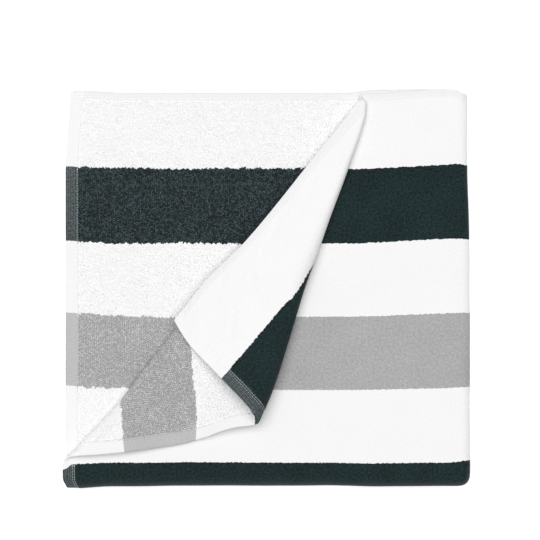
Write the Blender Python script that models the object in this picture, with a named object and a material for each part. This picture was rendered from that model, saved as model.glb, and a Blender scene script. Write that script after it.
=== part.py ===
"""A striped beach towel, folded to eight layers, with one corner of its top layer turned back.

The towel is one closed sheet. It is laid out flat as a thin slab, with lines wherever it will bend, and
each point of the slab is then carried to its place in the folded stack:

- along its length it is folded in half twice, which gives four runs joined by three bends;
- across its width those four runs are folded under together in one fat roll, which gives eight layers;
- the top layer's loose corner is turned over a crease and then back over a ridge, which both start from
  one point on the side hem, the apex.

Metres, +Z up. The origin is the middle of the footprint, on the surface that the towel lies on.
A place on the flat sheet is (along, down): along is the distance from the end hem that lies on top, and
down the distance from the side hem at the back of the stack. +X is along the top layer, and its down
direction is -Y.
"""

import math
from typing import NamedTuple

import bmesh
import bpy
from mathutils import Vector
from mathutils.geometry import delaunay_2d_cdt

# The sheet.
TOWEL_LENGTH = 1.800
TOWEL_WIDTH = 0.900
CLOTH_THICKNESS = 0.0030

# From where the folds' own sizes start to the middle of the footprint.
TO_MIDDLE = Vector((0.0005, 0.0002, 0.0))

# The stack. A layer's level is its distance from the stack's middle, counted in layers.
TOP_LEVEL = 3.5
RISE_OPEN = 0.0043  # from one layer to the next at the loose edges
RISE_ROLL = 0.0058  # the same at the roll, where the stack is fuller
RISE_RIGHT = 0.0004  # added over the right-hand bends
RIGHT_FROM = 0.130  # X from which the right-hand bends lift the stack
RIGHT_FULL = 0.220  # X at which they have lifted it fully
ROLL_SETTLES = 0.200  # distance from the roll in which the stack thins to its loose height
WAVE_RISE = 0.00010  # how far a layer's rise swells and dips across the stack
WAVES_SETTLE = 0.050  # distance from the roll in which the waves come in

# Where the runs end, from left to right.
TOP_HEM_X = -0.2290
SECOND_HEM_X = -0.2251
INNER_BEND_X = 0.2144
OUTER_BEND_X = 0.2174
OUTER_BEND_RADIUS = 0.0075
INNER_BEND_RADIUS = 0.0025
LEFT_BEND_IN = 0.0030  # how far the left-hand bend is drawn in under the layers above it
BOTTOM_HEM_IN = 0.0042  # how far the lowest layer's hem is drawn in under them
DRAWN_SLACK = 0.050  # length of cloth that is drawn in with that bend or that hem

# Where the layers end, from front to back.
ROLL_Y = -0.1991
TOP_EDGE_Y = 0.2155

# The turned-back corner.
APEX_X = 0.1104
RIDGE_CLOTH_ANGLE = math.radians(24.0)  # where the ridge lies on the flat sheet, from the side hem
LAYER_CLEARANCE = 0.0046  # from one turned-back layer to the next
FOLD_STARTS = 0.003  # reach at which the sheet begins to leave its plane
FOLD_CLOSES = 0.018  # reach at which crease and ridge are turned right over
PINCHED_TO = 0.035  # reach to which the cloth is crushed by its own folds
PINCHED_THICKNESS = 0.0010
PINCHED_CLEARANCE = 0.0030
OPENING_RISE = 0.45  # how steeply the layer under the ridge climbs where the fold is still opening
SOFTENED_TO = 0.030  # reach to which the folds' sharp start is rounded off
SOFT_RING = 0.0028  # how wide they are rounded off at the apex itself
RING_POINTS = 8
CORNER_SAG = 0.0030

# How finely the sheet is divided.
OUTER_BEND_STEPS = 6
INNER_BEND_STEPS = 4
ROLL_STEPS = 12
CREASE_STEPS = 6
UNDER_STEPS = 6
OVER_STEPS = 6
UPPER_LINES = (0.000, 0.022, 0.060, 0.110, 0.165, 0.220, 0.275, 0.325, 0.365, 0.395)
LOWER_SHARES = (0.04, 0.10, 0.20, 0.34, 0.50, 0.66, 0.82, 0.94, 1.00)
RUN_SHARES = (0.00, 0.05, 0.14, 0.28, 0.42, 0.57, 0.72, 0.86, 0.95, 1.00)
FAN_REACHES = (
    *(0.003, 0.0045, 0.006, 0.0075, 0.009, 0.011, 0.0135, 0.017, 0.022, 0.030, 0.042),
    *(0.060, 0.085, 0.120, 0.160, 0.205, 0.250, 0.290),
)
HEM_SHARES = (0.22, 0.44, 0.66, 0.87, 1.00)
RIGHT_OF_APEX = 0.012
FAN_MARGIN = 0.009  # plain grid points keep this far from the turned-back corner's own points
STEP = 1e-5  # distance over which the sheet's slope is measured
ROUNDING = 7  # decimal places of a metre


class EdgeRow(NamedTuple):
    """How far back a layer's two loose side hems reach, above and below the stack's middle."""

    level: float
    upper_y: float
    lower_y: float


class CornerRow(NamedTuple):
    """The section across the turned-back corner at one reach, which is the distance from the apex.

    Angles are in degrees about the apex, seen from above, from the side hem's own line.
    """

    reach: float
    crease_angle: float
    crease_radius: float
    crease_height: float
    crease_cloth: float
    climb: float
    ridge_angle: float
    ridge_radius: float
    ridge_height: float
    edge_angle: float


class ReachRow(NamedTuple):
    """How much further from the apex a line of the corner lies than on the flat sheet."""

    cloth_angle: float
    share: float


class ShiftRow(NamedTuple):
    """A soft shift of part of the stack, which comes in from one X to the other and from one Y to another.

    The last two are its shares for the top layer and for the layers below it.
    """

    shift_x: float
    shift_y: float
    from_x: float
    to_x: float
    from_y: float
    to_y: float
    top: float
    below: float


class WaveRow(NamedTuple):
    """A soft wave in the stack: its share of the waves' height, its turns per metre and its phase."""

    share: float
    per_x: float
    per_y: float
    phase: float


EDGES = (
    EdgeRow(0.5, 0.2180, 0.2172),
    EdgeRow(1.5, 0.2183, 0.2160),
    EdgeRow(2.5, 0.2168, 0.2176),
    EdgeRow(3.5, TOP_EDGE_Y, 0.2165),
)

CORNER = (
    CornerRow(0.003, 50.8, 0.0012, 0.0030, 0.0036, 0.0000, 97.0, 0.0012, 0.0030, 66.0),
    CornerRow(0.006, 50.8, 0.0013, 0.0032, 0.0042, 0.0000, 97.0, 0.0013, 0.0032, 60.0),
    CornerRow(0.011, 50.8, 0.0015, 0.0034, 0.0050, 0.0000, 95.0, 0.0015, 0.0034, 54.5),
    CornerRow(0.020, 50.8, 0.0019, 0.0038, 0.0064, 0.0000, 90.0, 0.0019, 0.0040, 52.0),
    CornerRow(0.035, 50.8, 0.0023, 0.0046, 0.0074, 0.0000, 83.5, 0.0023, 0.0047, 50.9),
    CornerRow(0.065, 50.8, 0.0027, 0.0052, 0.0085, 0.0002, 77.8, 0.0028, 0.0057, 50.5),
    CornerRow(0.105, 50.9, 0.0036, 0.0062, 0.0105, 0.0008, 74.7, 0.0038, 0.0078, 50.6),
    CornerRow(0.155, 51.0, 0.0052, 0.0082, 0.0154, 0.0018, 73.1, 0.0054, 0.0115, 50.8),
    CornerRow(0.215, 51.1, 0.0070, 0.0110, 0.0211, 0.0034, 72.2, 0.0075, 0.0165, 50.5),
    CornerRow(0.275, 51.2, 0.0088, 0.0140, 0.0266, 0.0055, 72.0, 0.0098, 0.0215, 49.2),
    CornerRow(0.335, 51.2, 0.0104, 0.0165, 0.0322, 0.0075, 72.1, 0.0118, 0.0260, 49.5),
    CornerRow(0.390, 51.3, 0.0114, 0.0182, 0.0392, 0.0085, 71.6, 0.0130, 0.0280, 49.5),
    CornerRow(0.445, 51.4, 0.0116, 0.0180, 0.0460, 0.0085, 71.6, 0.0130, 0.0280, 49.5),
    CornerRow(0.500, 50.8, 0.0080, 0.0120, 0.0340, 0.0085, 71.6, 0.0130, 0.0280, 49.5),
    CornerRow(0.535, 49.9, 0.0034, 0.0046, 0.0150, 0.0085, 71.6, 0.0130, 0.0280, 49.5),
)

REACHES = (
    ReachRow(0.0, 0.970),
    ReachRow(2.0, 0.983),
    ReachRow(5.7, 1.000),
    ReachRow(13.5, 1.012),
    ReachRow(20.0, 1.026),
    ReachRow(24.0, 1.036),
    ReachRow(28.0, 1.035),
    ReachRow(33.0, 1.034),
    ReachRow(36.0, 1.027),
    ReachRow(42.0, 1.021),
    ReachRow(46.0, 1.015),
    ReachRow(50.5, 1.000),
)

# The two ends of a shift that is already in over the whole towel.
ANYWHERE = (-1.0, -0.9)

SHIFTS = (
    ShiftRow(0.0, 0.0059, 0.088, 0.218, -0.300, 0.135, 1.0, 0.0),
    ShiftRow(0.0, 0.0040, 0.088, 0.123, -0.300, 0.135, 0.0, 1.0),
    ShiftRow(0.0, 0.0019, *ANYWHERE, 0.020, 0.205, 1.0, 1.0),
    ShiftRow(0.0, 0.0022, -0.165, -0.205, 0.150, 0.210, 1.0, 1.0),
    ShiftRow(0.0, -0.0018, -0.175, -0.215, -0.170, -0.200, 1.0, 1.0),
    ShiftRow(0.0, -0.0042, 0.2115, 0.2260, 0.170, 0.215, 1.0, 1.0),
    ShiftRow(0.0, -0.0016, 0.2115, 0.2260, 0.020, 0.120, 1.0, 1.0),
    ShiftRow(0.0, 0.0016, 0.2115, 0.2260, -0.080, -0.170, 1.0, 1.0),
    ShiftRow(0.0, -0.0012, 0.060, 0.130, -0.120, -0.200, 1.0, 1.0),
    ShiftRow(0.0, -0.0011, -0.080, -0.160, -0.120, -0.200, 1.0, 1.0),
    ShiftRow(0.0052, 0.0, 0.020, -0.180, 0.135, 0.220, 1.0, 1.0),
    ShiftRow(0.0010, 0.0, -0.200, -0.220, -0.160, -0.180, 1.0, 1.0),
    ShiftRow(0.0042, 0.0, -0.200, -0.220, -0.209, -0.221, 1.0, 1.0),
    ShiftRow(0.0016, 0.0, 0.120, 0.220, *ANYWHERE, 1.0, 1.0),
    ShiftRow(-0.0026, 0.0, 0.120, 0.220, 0.020, 0.140, 1.0, 1.0),
)

WAVES = (
    WaveRow(1.0, 23.0, 9.0, 0.0),
    WaveRow(0.8, -14.0, 31.0, 1.0),
)

# What follows from the sizes above.
OUTER_ARC = math.pi * OUTER_BEND_RADIUS
INNER_ARC = math.pi * INNER_BEND_RADIUS
TOP_RUN = OUTER_BEND_X - TOP_HEM_X
LAST_RUN = INNER_BEND_X - SECOND_HEM_X
SPARE_LENGTH = OUTER_BEND_X + INNER_BEND_X + TOP_RUN + LAST_RUN + OUTER_ARC + 2 * INNER_ARC - TOWEL_LENGTH
LEFT_BEND_X = SPARE_LENGTH / 2
SECOND_RUN = OUTER_BEND_X - LEFT_BEND_X
THIRD_RUN = INNER_BEND_X - LEFT_BEND_X
ROLL_RADIUS = TOP_LEVEL * RISE_ROLL
ROLL_STARTS = TOP_EDGE_Y - ROLL_Y
ROLL_ENDS = ROLL_STARTS + math.pi * ROLL_RADIUS
ROLL_Z = CLOTH_THICKNESS / 2 + ROLL_RADIUS
APEX_ALONG = APEX_X - TOP_HEM_X


def mix(start, end, share):
    """The value that lies this share of the way from start to end."""
    return start + (end - start) * share


def clamp(value):
    """The value, kept between 0 and 1."""
    return min(max(value, 0.0), 1.0)


def ease(value):
    """A soft step, from 0 at 0 to 1 at 1."""
    value = clamp(value)
    return value * value * (3 - 2 * value)


def smooth_row(rows, at):
    """The row at this value of the table's first column, on a smooth curve through its rows."""
    if at <= rows[0][0]:
        return rows[0]
    if at >= rows[-1][0]:
        return rows[-1]
    index = max(i for i, row in enumerate(rows) if row[0] <= at)
    start, end = rows[index], rows[index + 1]
    before = rows[max(index - 1, 0)]
    after = rows[min(index + 2, len(rows) - 1)]
    span = end[0] - start[0]
    share = (at - start[0]) / span
    values = []
    for b, s, e, a in zip(before, start, end, after):
        leave = (e - b) * span / (end[0] - before[0])
        arrive = (a - s) * span / (after[0] - start[0])
        curve = leave * share * (1 - share) ** 2 - arrive * share**2 * (1 - share)
        values.append(mix(s, e, ease(share)) + curve)
    return type(start)(*values)


def level_and_x(along):
    """The level and the X of a place along the towel, through its four runs and three bends."""
    if along <= TOP_RUN:
        return TOP_LEVEL, TOP_HEM_X + along
    along -= TOP_RUN
    if along <= OUTER_ARC:
        turn = along / OUTER_BEND_RADIUS
        return TOP_LEVEL - 1.5 + 1.5 * math.cos(turn), OUTER_BEND_X + OUTER_BEND_RADIUS * math.sin(turn)
    along -= OUTER_ARC
    if along <= SECOND_RUN:
        return TOP_LEVEL - 3, OUTER_BEND_X - along
    along -= SECOND_RUN
    if along <= INNER_ARC:
        turn = along / INNER_BEND_RADIUS
        return TOP_LEVEL - 2.5 - 0.5 * math.cos(turn), LEFT_BEND_X - INNER_BEND_RADIUS * math.sin(turn)
    along -= INNER_ARC
    if along <= THIRD_RUN:
        return TOP_LEVEL - 2, LEFT_BEND_X + along
    along -= THIRD_RUN
    if along <= INNER_ARC:
        turn = along / INNER_BEND_RADIUS
        return TOP_LEVEL - 1.5 - 0.5 * math.cos(turn), INNER_BEND_X + INNER_BEND_RADIUS * math.sin(turn)
    return TOP_LEVEL - 1, INNER_BEND_X - (along - INNER_ARC)


def drawn_right(along, down):
    """How far to the right the cloth is drawn in: at the left-hand bend, and at the lowest layer's hem."""
    from_bend = abs(along - TOP_RUN - OUTER_ARC - SECOND_RUN - INNER_ARC / 2)
    turned_under = ease(2 * (down - ROLL_STARTS) / (ROLL_ENDS - ROLL_STARTS) - 1)
    at_hem = BOTTOM_HEM_IN * ease(1 - along / DRAWN_SLACK) * turned_under
    return LEFT_BEND_IN * ease(1 - from_bend / DRAWN_SLACK) + at_hem


def layer_rise(x, y):
    """The height from one layer to the next at a place in the stack."""
    near_roll = ease(1 - (y - ROLL_Y) / ROLL_SETTLES)
    near_bends = ease((x - RIGHT_FROM) / (RIGHT_FULL - RIGHT_FROM))
    wave = sum(row.share * math.sin(row.per_x * x + row.per_y * y + row.phase) for row in WAVES)
    wave *= ease((y - ROLL_Y) / WAVES_SETTLE)
    loose = RISE_OPEN + RISE_RIGHT * near_bends + WAVE_RISE * wave
    return mix(loose, RISE_ROLL, near_roll)


def stack_shift(x, y, depth):
    """How far the stack lies off its plain rectangle. depth is 0 for the top layer and 1 below it."""
    shift_x = shift_y = 0.0
    for row in SHIFTS:
        share = ease((x - row.from_x) / (row.to_x - row.from_x)) * mix(row.top, row.below, depth)
        share *= ease((y - row.from_y) / (row.to_y - row.from_y))
        shift_x += row.shift_x * share
        shift_y += row.shift_y * share
    return shift_x, shift_y


def pinch(reach):
    """How crushed the cloth is at this reach: 1 at the apex, 0 where it has its own thickness."""
    return 1 - ease((reach - FOLD_STARTS) / (PINCHED_TO - FOLD_STARTS))


class CornerSection:
    """The turned-back corner, cut at one reach from the apex.

    Its cloth runs from the top layer over the crease, back under itself, over the ridge and out to the
    side hem. Each length is kept twice: measured in the flat cloth, and in the plan that it covers.
    """

    def __init__(self, reach):
        row = smooth_row(CORNER, reach)
        self.row = row
        self.closed = ease((reach - FOLD_STARTS) / (FOLD_CLOSES - FOLD_STARTS))
        self.turn = math.pi * max(self.closed, STEP)
        self.clearance = mix(PINCHED_CLEARANCE, LAYER_CLEARANCE, 1 - pinch(reach))
        degrees = row.crease_angle, row.ridge_angle, row.edge_angle
        crease_angle, ridge_angle, edge_angle = map(math.radians, degrees)
        self.lift_angle = crease_angle + row.crease_radius / reach
        ridge_arc = math.pi * (row.ridge_radius / 2 + row.ridge_height / 4)
        under = reach * (ridge_angle - self.lift_angle) - row.ridge_radius
        over = reach * (ridge_angle - edge_angle) - row.ridge_radius
        cloth = reach * self.lift_angle
        to_ridge = cloth - reach * RIDGE_CLOTH_ANGLE
        before_ridge = to_ridge - row.crease_cloth - ridge_arc / 2
        after_ridge = cloth - to_ridge - ridge_arc / 2
        true_lengths = row.crease_cloth, before_ridge, ridge_arc, after_ridge
        shown = row.crease_cloth, under, ridge_arc, over
        stretch = cloth / sum(shown)
        settled = ease((reach - PINCHED_TO) / PINCHED_TO)
        lengths = [mix(even * stretch, true, settled) for even, true in zip(shown, true_lengths)]
        self.crease_cloth, self.under_cloth, self.ridge_cloth, self.over_cloth = lengths
        self.under_plan = mix(self.under_cloth, under, self.closed)
        self.over_plan = mix(self.over_cloth, over, self.closed)
        self.crease_axes = self.axes(self.crease_cloth, row.crease_radius, row.crease_height)
        self.ridge_axes = self.axes(self.ridge_cloth, row.ridge_radius, row.ridge_height)

    def axes(self, cloth, radius, height):
        """A bend's half width and height: an arc while it opens, the table's roll once it is closed."""
        arc = cloth / self.turn
        return mix(arc, radius, self.closed), mix(arc, height / 2, self.closed)

    def place(self, out):
        """How far across and up a point lies, at this distance along the cloth past the lift line."""
        if out <= 0:
            return out, 0.0
        turn, closed = self.turn, self.closed
        sin_turn, cos_turn = math.sin(turn), math.cos(turn)
        wide, high = self.crease_axes
        part = min(out / self.crease_cloth, 1.0) * turn
        across, up = wide * math.sin(part), high * (1 - math.cos(part))
        out -= self.crease_cloth
        if out <= 0:
            return across, up
        edge_up = mix(0.0, up + self.clearance, closed)
        share = min(out / self.under_cloth, 1.0)
        slack = self.under_cloth - self.under_plan
        taken_up = ease((share - 0.4) / 0.6) if slack > 0 else share
        straight = share * self.under_cloth - slack * taken_up
        drop = closed * max(0.0, up - self.clearance)
        across += straight * cos_turn
        up += OPENING_RISE * straight * sin_turn - drop * ease(share / 0.5)
        up += closed * self.row.climb * ease((share - 0.5) / 0.5)
        out -= self.under_cloth
        if out <= 0:
            return across, up
        wide, high = self.ridge_axes
        part = (1 - min(out / self.ridge_cloth, 1.0)) * turn
        across += wide * (sin_turn - math.sin(part))
        up += high * (math.cos(part) - cos_turn)
        out -= self.ridge_cloth
        if out <= 0:
            return across, up
        share = out / self.over_cloth
        sag = CORNER_SAG * ease((self.row.reach - 0.12) / 0.20) * math.sin(math.pi * clamp(share)) ** 2
        return across + share * self.over_plan, mix(up, mix(up, edge_up, closed), ease(share)) - sag


def top_layer_place(along, down):
    """X, Y and extra height of a place in the top layer, whose corner is turned back."""
    reach = math.hypot(APEX_ALONG - along, down)
    if along >= APEX_ALONG or reach <= FOLD_STARTS:
        return TOP_HEM_X + along, TOP_EDGE_Y - down, 0.0
    cloth_angle = math.atan2(down, APEX_ALONG - along)
    section = CornerSection(reach)
    across, up = section.place(reach * (section.lift_angle - cloth_angle))
    plan_angle = section.lift_angle - across / reach
    share = smooth_row(REACHES, math.degrees(cloth_angle)).share
    plan_reach = reach * mix(share, 1.0, pinch(reach))
    x = APEX_X - plan_reach * math.cos(plan_angle)
    y = TOP_EDGE_Y - plan_reach * math.sin(plan_angle)
    return x, y, up


def sharp_place(along, down):
    """The place half-way through the folded towel's thickness, before the apex is rounded off."""
    level, x = level_and_x(along)
    x += drawn_right(along, down)
    edge = smooth_row(EDGES, level)
    in_lower = down > (ROLL_STARTS + ROLL_ENDS) / 2
    depth = 1.0 if in_lower else clamp((TOP_LEVEL - level) / 1.5)
    if ROLL_STARTS <= down <= ROLL_ENDS:
        turn = math.pi * (down - ROLL_STARTS) / (ROLL_ENDS - ROLL_STARTS)
        y = ROLL_Y - level * RISE_ROLL * math.sin(turn)
        z = ROLL_Z + level * RISE_ROLL * math.cos(turn)
    elif in_lower:
        y = ROLL_Y + (edge.lower_y - ROLL_Y) * (down - ROLL_ENDS) / (TOWEL_WIDTH - ROLL_ENDS)
        z = CLOTH_THICKNESS / 2 + (TOP_LEVEL - level) * layer_rise(x, y)
    else:
        y = ROLL_Y + (edge.upper_y - ROLL_Y) * (ROLL_STARTS - down) / ROLL_STARTS
        up = 0.0
        if along <= TOP_RUN:
            x, y, up = top_layer_place(along, down)
        z = CLOTH_THICKNESS / 2 + (TOP_LEVEL + level) * layer_rise(x, y) + up
    shift_x, shift_y = stack_shift(x, y, depth)
    return Vector((x + shift_x, y + shift_y, z))


def mid_place(along, down):
    """The folded towel's place, half-way through its thickness, for a place on the flat sheet."""
    reach = math.hypot(APEX_ALONG - along, down)
    if along >= TOP_RUN or reach >= SOFTENED_TO:
        return sharp_place(along, down)
    ring = SOFT_RING * (1 - ease(reach / SOFTENED_TO))
    total = Vector()
    for i in range(RING_POINTS):
        angle = math.tau * i / RING_POINTS
        total += sharp_place(along + ring * math.cos(angle), down + ring * math.sin(angle))
    return total / RING_POINTS


def folded_place(along, down, offset):
    """The folded place of a point of the sheet, offset from its middle towards the face that shows."""
    slope_along = mid_place(along + STEP, down) - mid_place(along - STEP, down)
    slope_down = mid_place(along, down + STEP) - mid_place(along, down - STEP)
    facing = slope_down.cross(slope_along).normalized()
    if along < TOP_RUN:
        crushed = pinch(math.hypot(APEX_ALONG - along, down))
        offset *= mix(1.0, PINCHED_THICKNESS / CLOTH_THICKNESS, crushed)
    return mid_place(along, down) + facing * offset + TO_MIDDLE


def steps(start, end, count):
    """Evenly spaced values after start, up to and including end."""
    return [mix(start, end, (i + 1) / count) for i in range(count)]


def lines_along():
    """Where the plain grid has lines across the towel's length: spread over runs, close in bends."""
    lines = []
    start = 0.0
    runs = (TOP_RUN, OUTER_ARC, OUTER_BEND_STEPS), (SECOND_RUN, INNER_ARC, INNER_BEND_STEPS)
    runs += (THIRD_RUN, INNER_ARC, INNER_BEND_STEPS), (LAST_RUN, 0.0, 0)
    for run, arc, count in runs:
        lines += [start + run * share for share in RUN_SHARES]
        if start == 0.0:
            lines.append(APEX_ALONG + RIGHT_OF_APEX)
        lines += steps(start + run, start + run + arc, count)[:-1]
        start += run + arc
    return sorted(lines)


def lines_down():
    """Where the plain grid has lines across the towel's width: upper layers, roll and lower layers."""
    lower = [mix(ROLL_ENDS, TOWEL_WIDTH, share) for share in LOWER_SHARES]
    return [*UPPER_LINES, ROLL_STARTS, *steps(ROLL_STARTS, ROLL_ENDS, ROLL_STEPS), *lower]


def in_corner(along, down):
    """Whether a plain grid point would lie in the turned-back corner, or too near to its points."""
    reach = math.hypot(APEX_ALONG - along, down)
    if along > APEX_ALONG + FAN_MARGIN or down > ROLL_STARTS - FAN_MARGIN / 2:
        return False
    if reach < FAN_REACHES[3]:
        return True
    lift = CornerSection(reach).lift_angle
    return reach * (math.atan2(down, APEX_ALONG - along) - lift) < FAN_MARGIN


def fan_column(share_of):
    """One line of the turned-back corner, from the apex out to the end hem.

    share_of gives the line's distance past the lift line, from the section at each reach.
    """
    column = []
    for reach in FAN_REACHES:
        section = CornerSection(reach)
        column.append((reach, section.lift_angle - share_of(section) / reach))
    reach, angle = column[-1]
    for _ in range(12):
        reach = APEX_ALONG / math.cos(angle)
        section = CornerSection(reach)
        angle = section.lift_angle - share_of(section) / reach
    hem_reach = APEX_ALONG / math.cos(angle)
    start = FAN_REACHES[-1]
    for share in HEM_SHARES[:-1]:
        section = CornerSection(mix(start, hem_reach, share))
        reach = mix(start, hem_reach, share)
        column.append((reach, section.lift_angle - share_of(section) / reach))
    column.append((hem_reach, angle))
    places = [(APEX_ALONG - r * math.cos(a), r * math.sin(a)) for r, a in column]
    return [(max(round(along, ROUNDING), 0.0), max(round(down, ROUNDING), 0.0)) for along, down in places]


def fan_columns():
    """The turned-back corner's lines: over the crease, under, over the ridge, out to the side hem."""
    spans = (
        (CREASE_STEPS, lambda s: (0.0, s.crease_cloth)),
        (UNDER_STEPS, lambda s: (s.crease_cloth, s.under_cloth)),
        (CREASE_STEPS, lambda s: (s.crease_cloth + s.under_cloth, s.ridge_cloth)),
        (OVER_STEPS, lambda s: (s.crease_cloth + s.under_cloth + s.ridge_cloth, s.over_cloth)),
    )
    columns = [fan_column(lambda s: 0.0)]
    for count, span in spans:
        for share in steps(0.0, 1.0, count):
            columns.append(fan_column(lambda s, span=span, share=share: span(s)[0] + span(s)[1] * share))
    return columns


def flat_layout():
    """Points of the flat sheet and the edges that its triangles keep: plain grid and corner fan."""
    along_lines, down_lines = lines_along(), lines_down()
    points, edges, index = [(APEX_ALONG, 0.0)], [], {}
    for i, along in enumerate(along_lines):
        for j, down in enumerate(down_lines):
            if along <= TOP_RUN and in_corner(along, down):
                continue
            index[i, j] = len(points)
            points.append((along, down))
            for neighbour in ((i - 1, j), (i, j - 1)):
                if neighbour in index:
                    edges.append((index[neighbour], index[i, j]))
    start = len(points)
    columns = fan_columns()
    rows = len(columns[0])
    for column in columns:
        for j, place in enumerate(column):
            points.append(place)
            if j:
                edges.append((len(points) - 2, len(points) - 1))
            if len(points) - 1 - rows >= start:
                edges.append((len(points) - 1 - rows, len(points) - 1))
    return points, edges


def folded_towel():
    """The towel's mesh: a flat slab of triangles, each point then carried to its folded place."""
    points, edges = flat_layout()
    flat = [Vector((along, -down)) for along, down in points]
    places, _, triangles, *_ = delaunay_2d_cdt(flat, edges, [], 0, 1e-7)
    sheet = bmesh.new()
    corners = [sheet.verts.new((x, y, -CLOTH_THICKNESS / 2)) for x, y in places]
    for triangle in triangles:
        sheet.faces.new([corners[i] for i in triangle])
    raised = bmesh.ops.extrude_face_region(sheet, geom=sheet.faces[:])["geom"]
    upper = [item for item in raised if isinstance(item, bmesh.types.BMVert)]
    bmesh.ops.translate(sheet, verts=upper, vec=(0, 0, CLOTH_THICKNESS))
    bmesh.ops.recalc_face_normals(sheet, faces=sheet.faces[:])
    for vert in sheet.verts:
        vert.co = folded_place(vert.co.x, -vert.co.y, vert.co.z)
    mesh = bpy.data.meshes.new("towel")
    sheet.to_mesh(mesh)
    sheet.free()
    return mesh


def cotton():
    """White looped cotton, the ground of the towel's stripes."""
    material = bpy.data.materials.new("striped_cotton")
    material.use_nodes = True
    shader = material.node_tree.nodes["Principled BSDF"]
    shader.inputs["Base Color"].default_value = (0.86, 0.87, 0.86, 1.0)
    shader.inputs["Roughness"].default_value = 0.95
    shader.inputs["Metallic"].default_value = 0.0
    return material


def main():
    """Clears the scene and adds the folded towel."""
    for obj in list(bpy.data.objects):
        bpy.data.objects.remove(obj, do_unlink=True)
    towel = bpy.data.objects.new("towel", folded_towel())
    towel.data.materials.append(cotton())
    towel.data.shade_smooth()
    towel.data.set_sharp_from_angle(angle=math.radians(50))
    bpy.context.scene.collection.objects.link(towel)


main()
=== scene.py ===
"""A striped beach towel, folded to eight layers, with one corner of its top layer turned back.

The towel is one sheet of cotton, velour on one face and looped terry on the other, with a flat-woven hem
at each end and a narrow hem down each side. It is modelled flat, as one slab, and carried to its folded
place by FoldMap. Terry loops and sewing threads are carried along by the same map.

A place on the flat sheet is (along, down), in metres: along is the distance from the end hem that lies on
top, and down the distance from the side hem at the back of the stack. +X is along the top layer, and down
is -Y.
"""

import logging
import math
from dataclasses import dataclass, field
from enum import Enum
from typing import NamedTuple, Sequence

import bmesh
import bpy
import numpy as np
from mathutils import Matrix, Vector
from mathutils.bvhtree import BVHTree

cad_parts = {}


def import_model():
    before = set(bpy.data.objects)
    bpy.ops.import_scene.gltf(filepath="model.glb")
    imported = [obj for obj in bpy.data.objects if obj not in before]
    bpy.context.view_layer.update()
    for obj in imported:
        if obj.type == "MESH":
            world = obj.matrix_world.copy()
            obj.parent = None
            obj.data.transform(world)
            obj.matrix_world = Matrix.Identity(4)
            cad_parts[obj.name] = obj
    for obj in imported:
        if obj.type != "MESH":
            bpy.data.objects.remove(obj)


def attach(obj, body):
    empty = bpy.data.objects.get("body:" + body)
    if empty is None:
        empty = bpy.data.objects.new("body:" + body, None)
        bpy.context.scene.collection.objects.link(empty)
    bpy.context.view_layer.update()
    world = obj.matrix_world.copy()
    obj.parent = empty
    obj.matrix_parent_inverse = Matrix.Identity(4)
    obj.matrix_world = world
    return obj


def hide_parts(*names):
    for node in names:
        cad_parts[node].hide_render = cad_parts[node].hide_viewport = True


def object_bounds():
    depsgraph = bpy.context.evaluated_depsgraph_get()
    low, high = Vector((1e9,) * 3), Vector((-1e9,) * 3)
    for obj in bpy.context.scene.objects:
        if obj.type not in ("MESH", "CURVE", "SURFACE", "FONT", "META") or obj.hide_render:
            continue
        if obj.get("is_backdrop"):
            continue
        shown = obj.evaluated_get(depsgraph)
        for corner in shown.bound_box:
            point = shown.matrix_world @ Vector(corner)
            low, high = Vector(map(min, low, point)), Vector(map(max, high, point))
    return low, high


log = logging.getLogger("towel")

Array = np.ndarray
Socket = bpy.types.NodeSocket

CAD_NODE = "towel"
FLAT_UV = "flat_sheet"

TOWEL_LENGTH = 1.800
TOWEL_WIDTH = 0.900
END_HEM = 0.0145
SIDE_HEM = 0.0078
STRIPE_COUNT = 11


# ----------------------------------------------------------------------------------------------------------
# Small sums on arrays


def mix(start: Array | float, end: Array | float, share: Array | float) -> Array | float:
    """The value that lies this share of the way from start to end."""
    return start + (end - start) * share


def clamp(value: Array | float) -> Array:
    """The value, kept between 0 and 1."""
    return np.clip(value, 0.0, 1.0)


def ease(value: Array | float) -> Array:
    """A soft step, from 0 at 0 to 1 at 1."""
    value = clamp(value)
    return value * value * (3 - 2 * value)


def smooth_rows(rows: Sequence[NamedTuple], at: Array) -> Array:
    """Each column of a table, on smooth curves through its rows.

    Args:
        rows: The table. Its first column rises from row to row.
        at: Values of the first column.

    Returns:
        One array of values for each column.
    """
    table = np.array(rows, float)
    key = table[:, 0]
    at = np.clip(at, key[0], key[-1])
    index = np.clip(np.searchsorted(key, at, side="right") - 1, 0, len(key) - 2)
    before, start = table[np.maximum(index - 1, 0)], table[index]
    end, after = table[index + 1], table[np.minimum(index + 2, len(key) - 1)]
    span = (end - start)[:, :1]
    share = (at - start[:, 0])[:, None] / span
    leave = (end - before) * span / (end - before)[:, :1]
    arrive = (after - start) * span / (after - start)[:, :1]
    curve = leave * share * (1 - share) ** 2 - arrive * share**2 * (1 - share)
    return (start + (end - start) * ease(share) + curve).T


# ----------------------------------------------------------------------------------------------------------
# How the towel is folded


class EdgeRow(NamedTuple):
    """How far back a layer's two loose side hems reach, above and below the stack's middle."""

    level: float
    upper_y: float
    lower_y: float


class CornerRow(NamedTuple):
    """The section across the turned-back corner at one reach, which is the distance from the apex.

    Angles are in degrees about the apex, seen from above, from the side hem's own line.
    """

    reach: float
    crease_angle: float
    crease_radius: float
    crease_height: float
    crease_cloth: float
    climb: float
    ridge_angle: float
    ridge_radius: float
    ridge_height: float
    edge_angle: float


class ReachRow(NamedTuple):
    """How much further from the apex a line of the corner lies than on the flat sheet."""

    cloth_angle: float
    share: float


class ShiftRow(NamedTuple):
    """A soft shift of part of the stack, which comes in from one X to the other and from one Y to another.

    The last two are its shares for the top layer and for the layers below it.
    """

    shift_x: float
    shift_y: float
    from_x: float
    to_x: float
    from_y: float
    to_y: float
    top: float
    below: float


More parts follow.
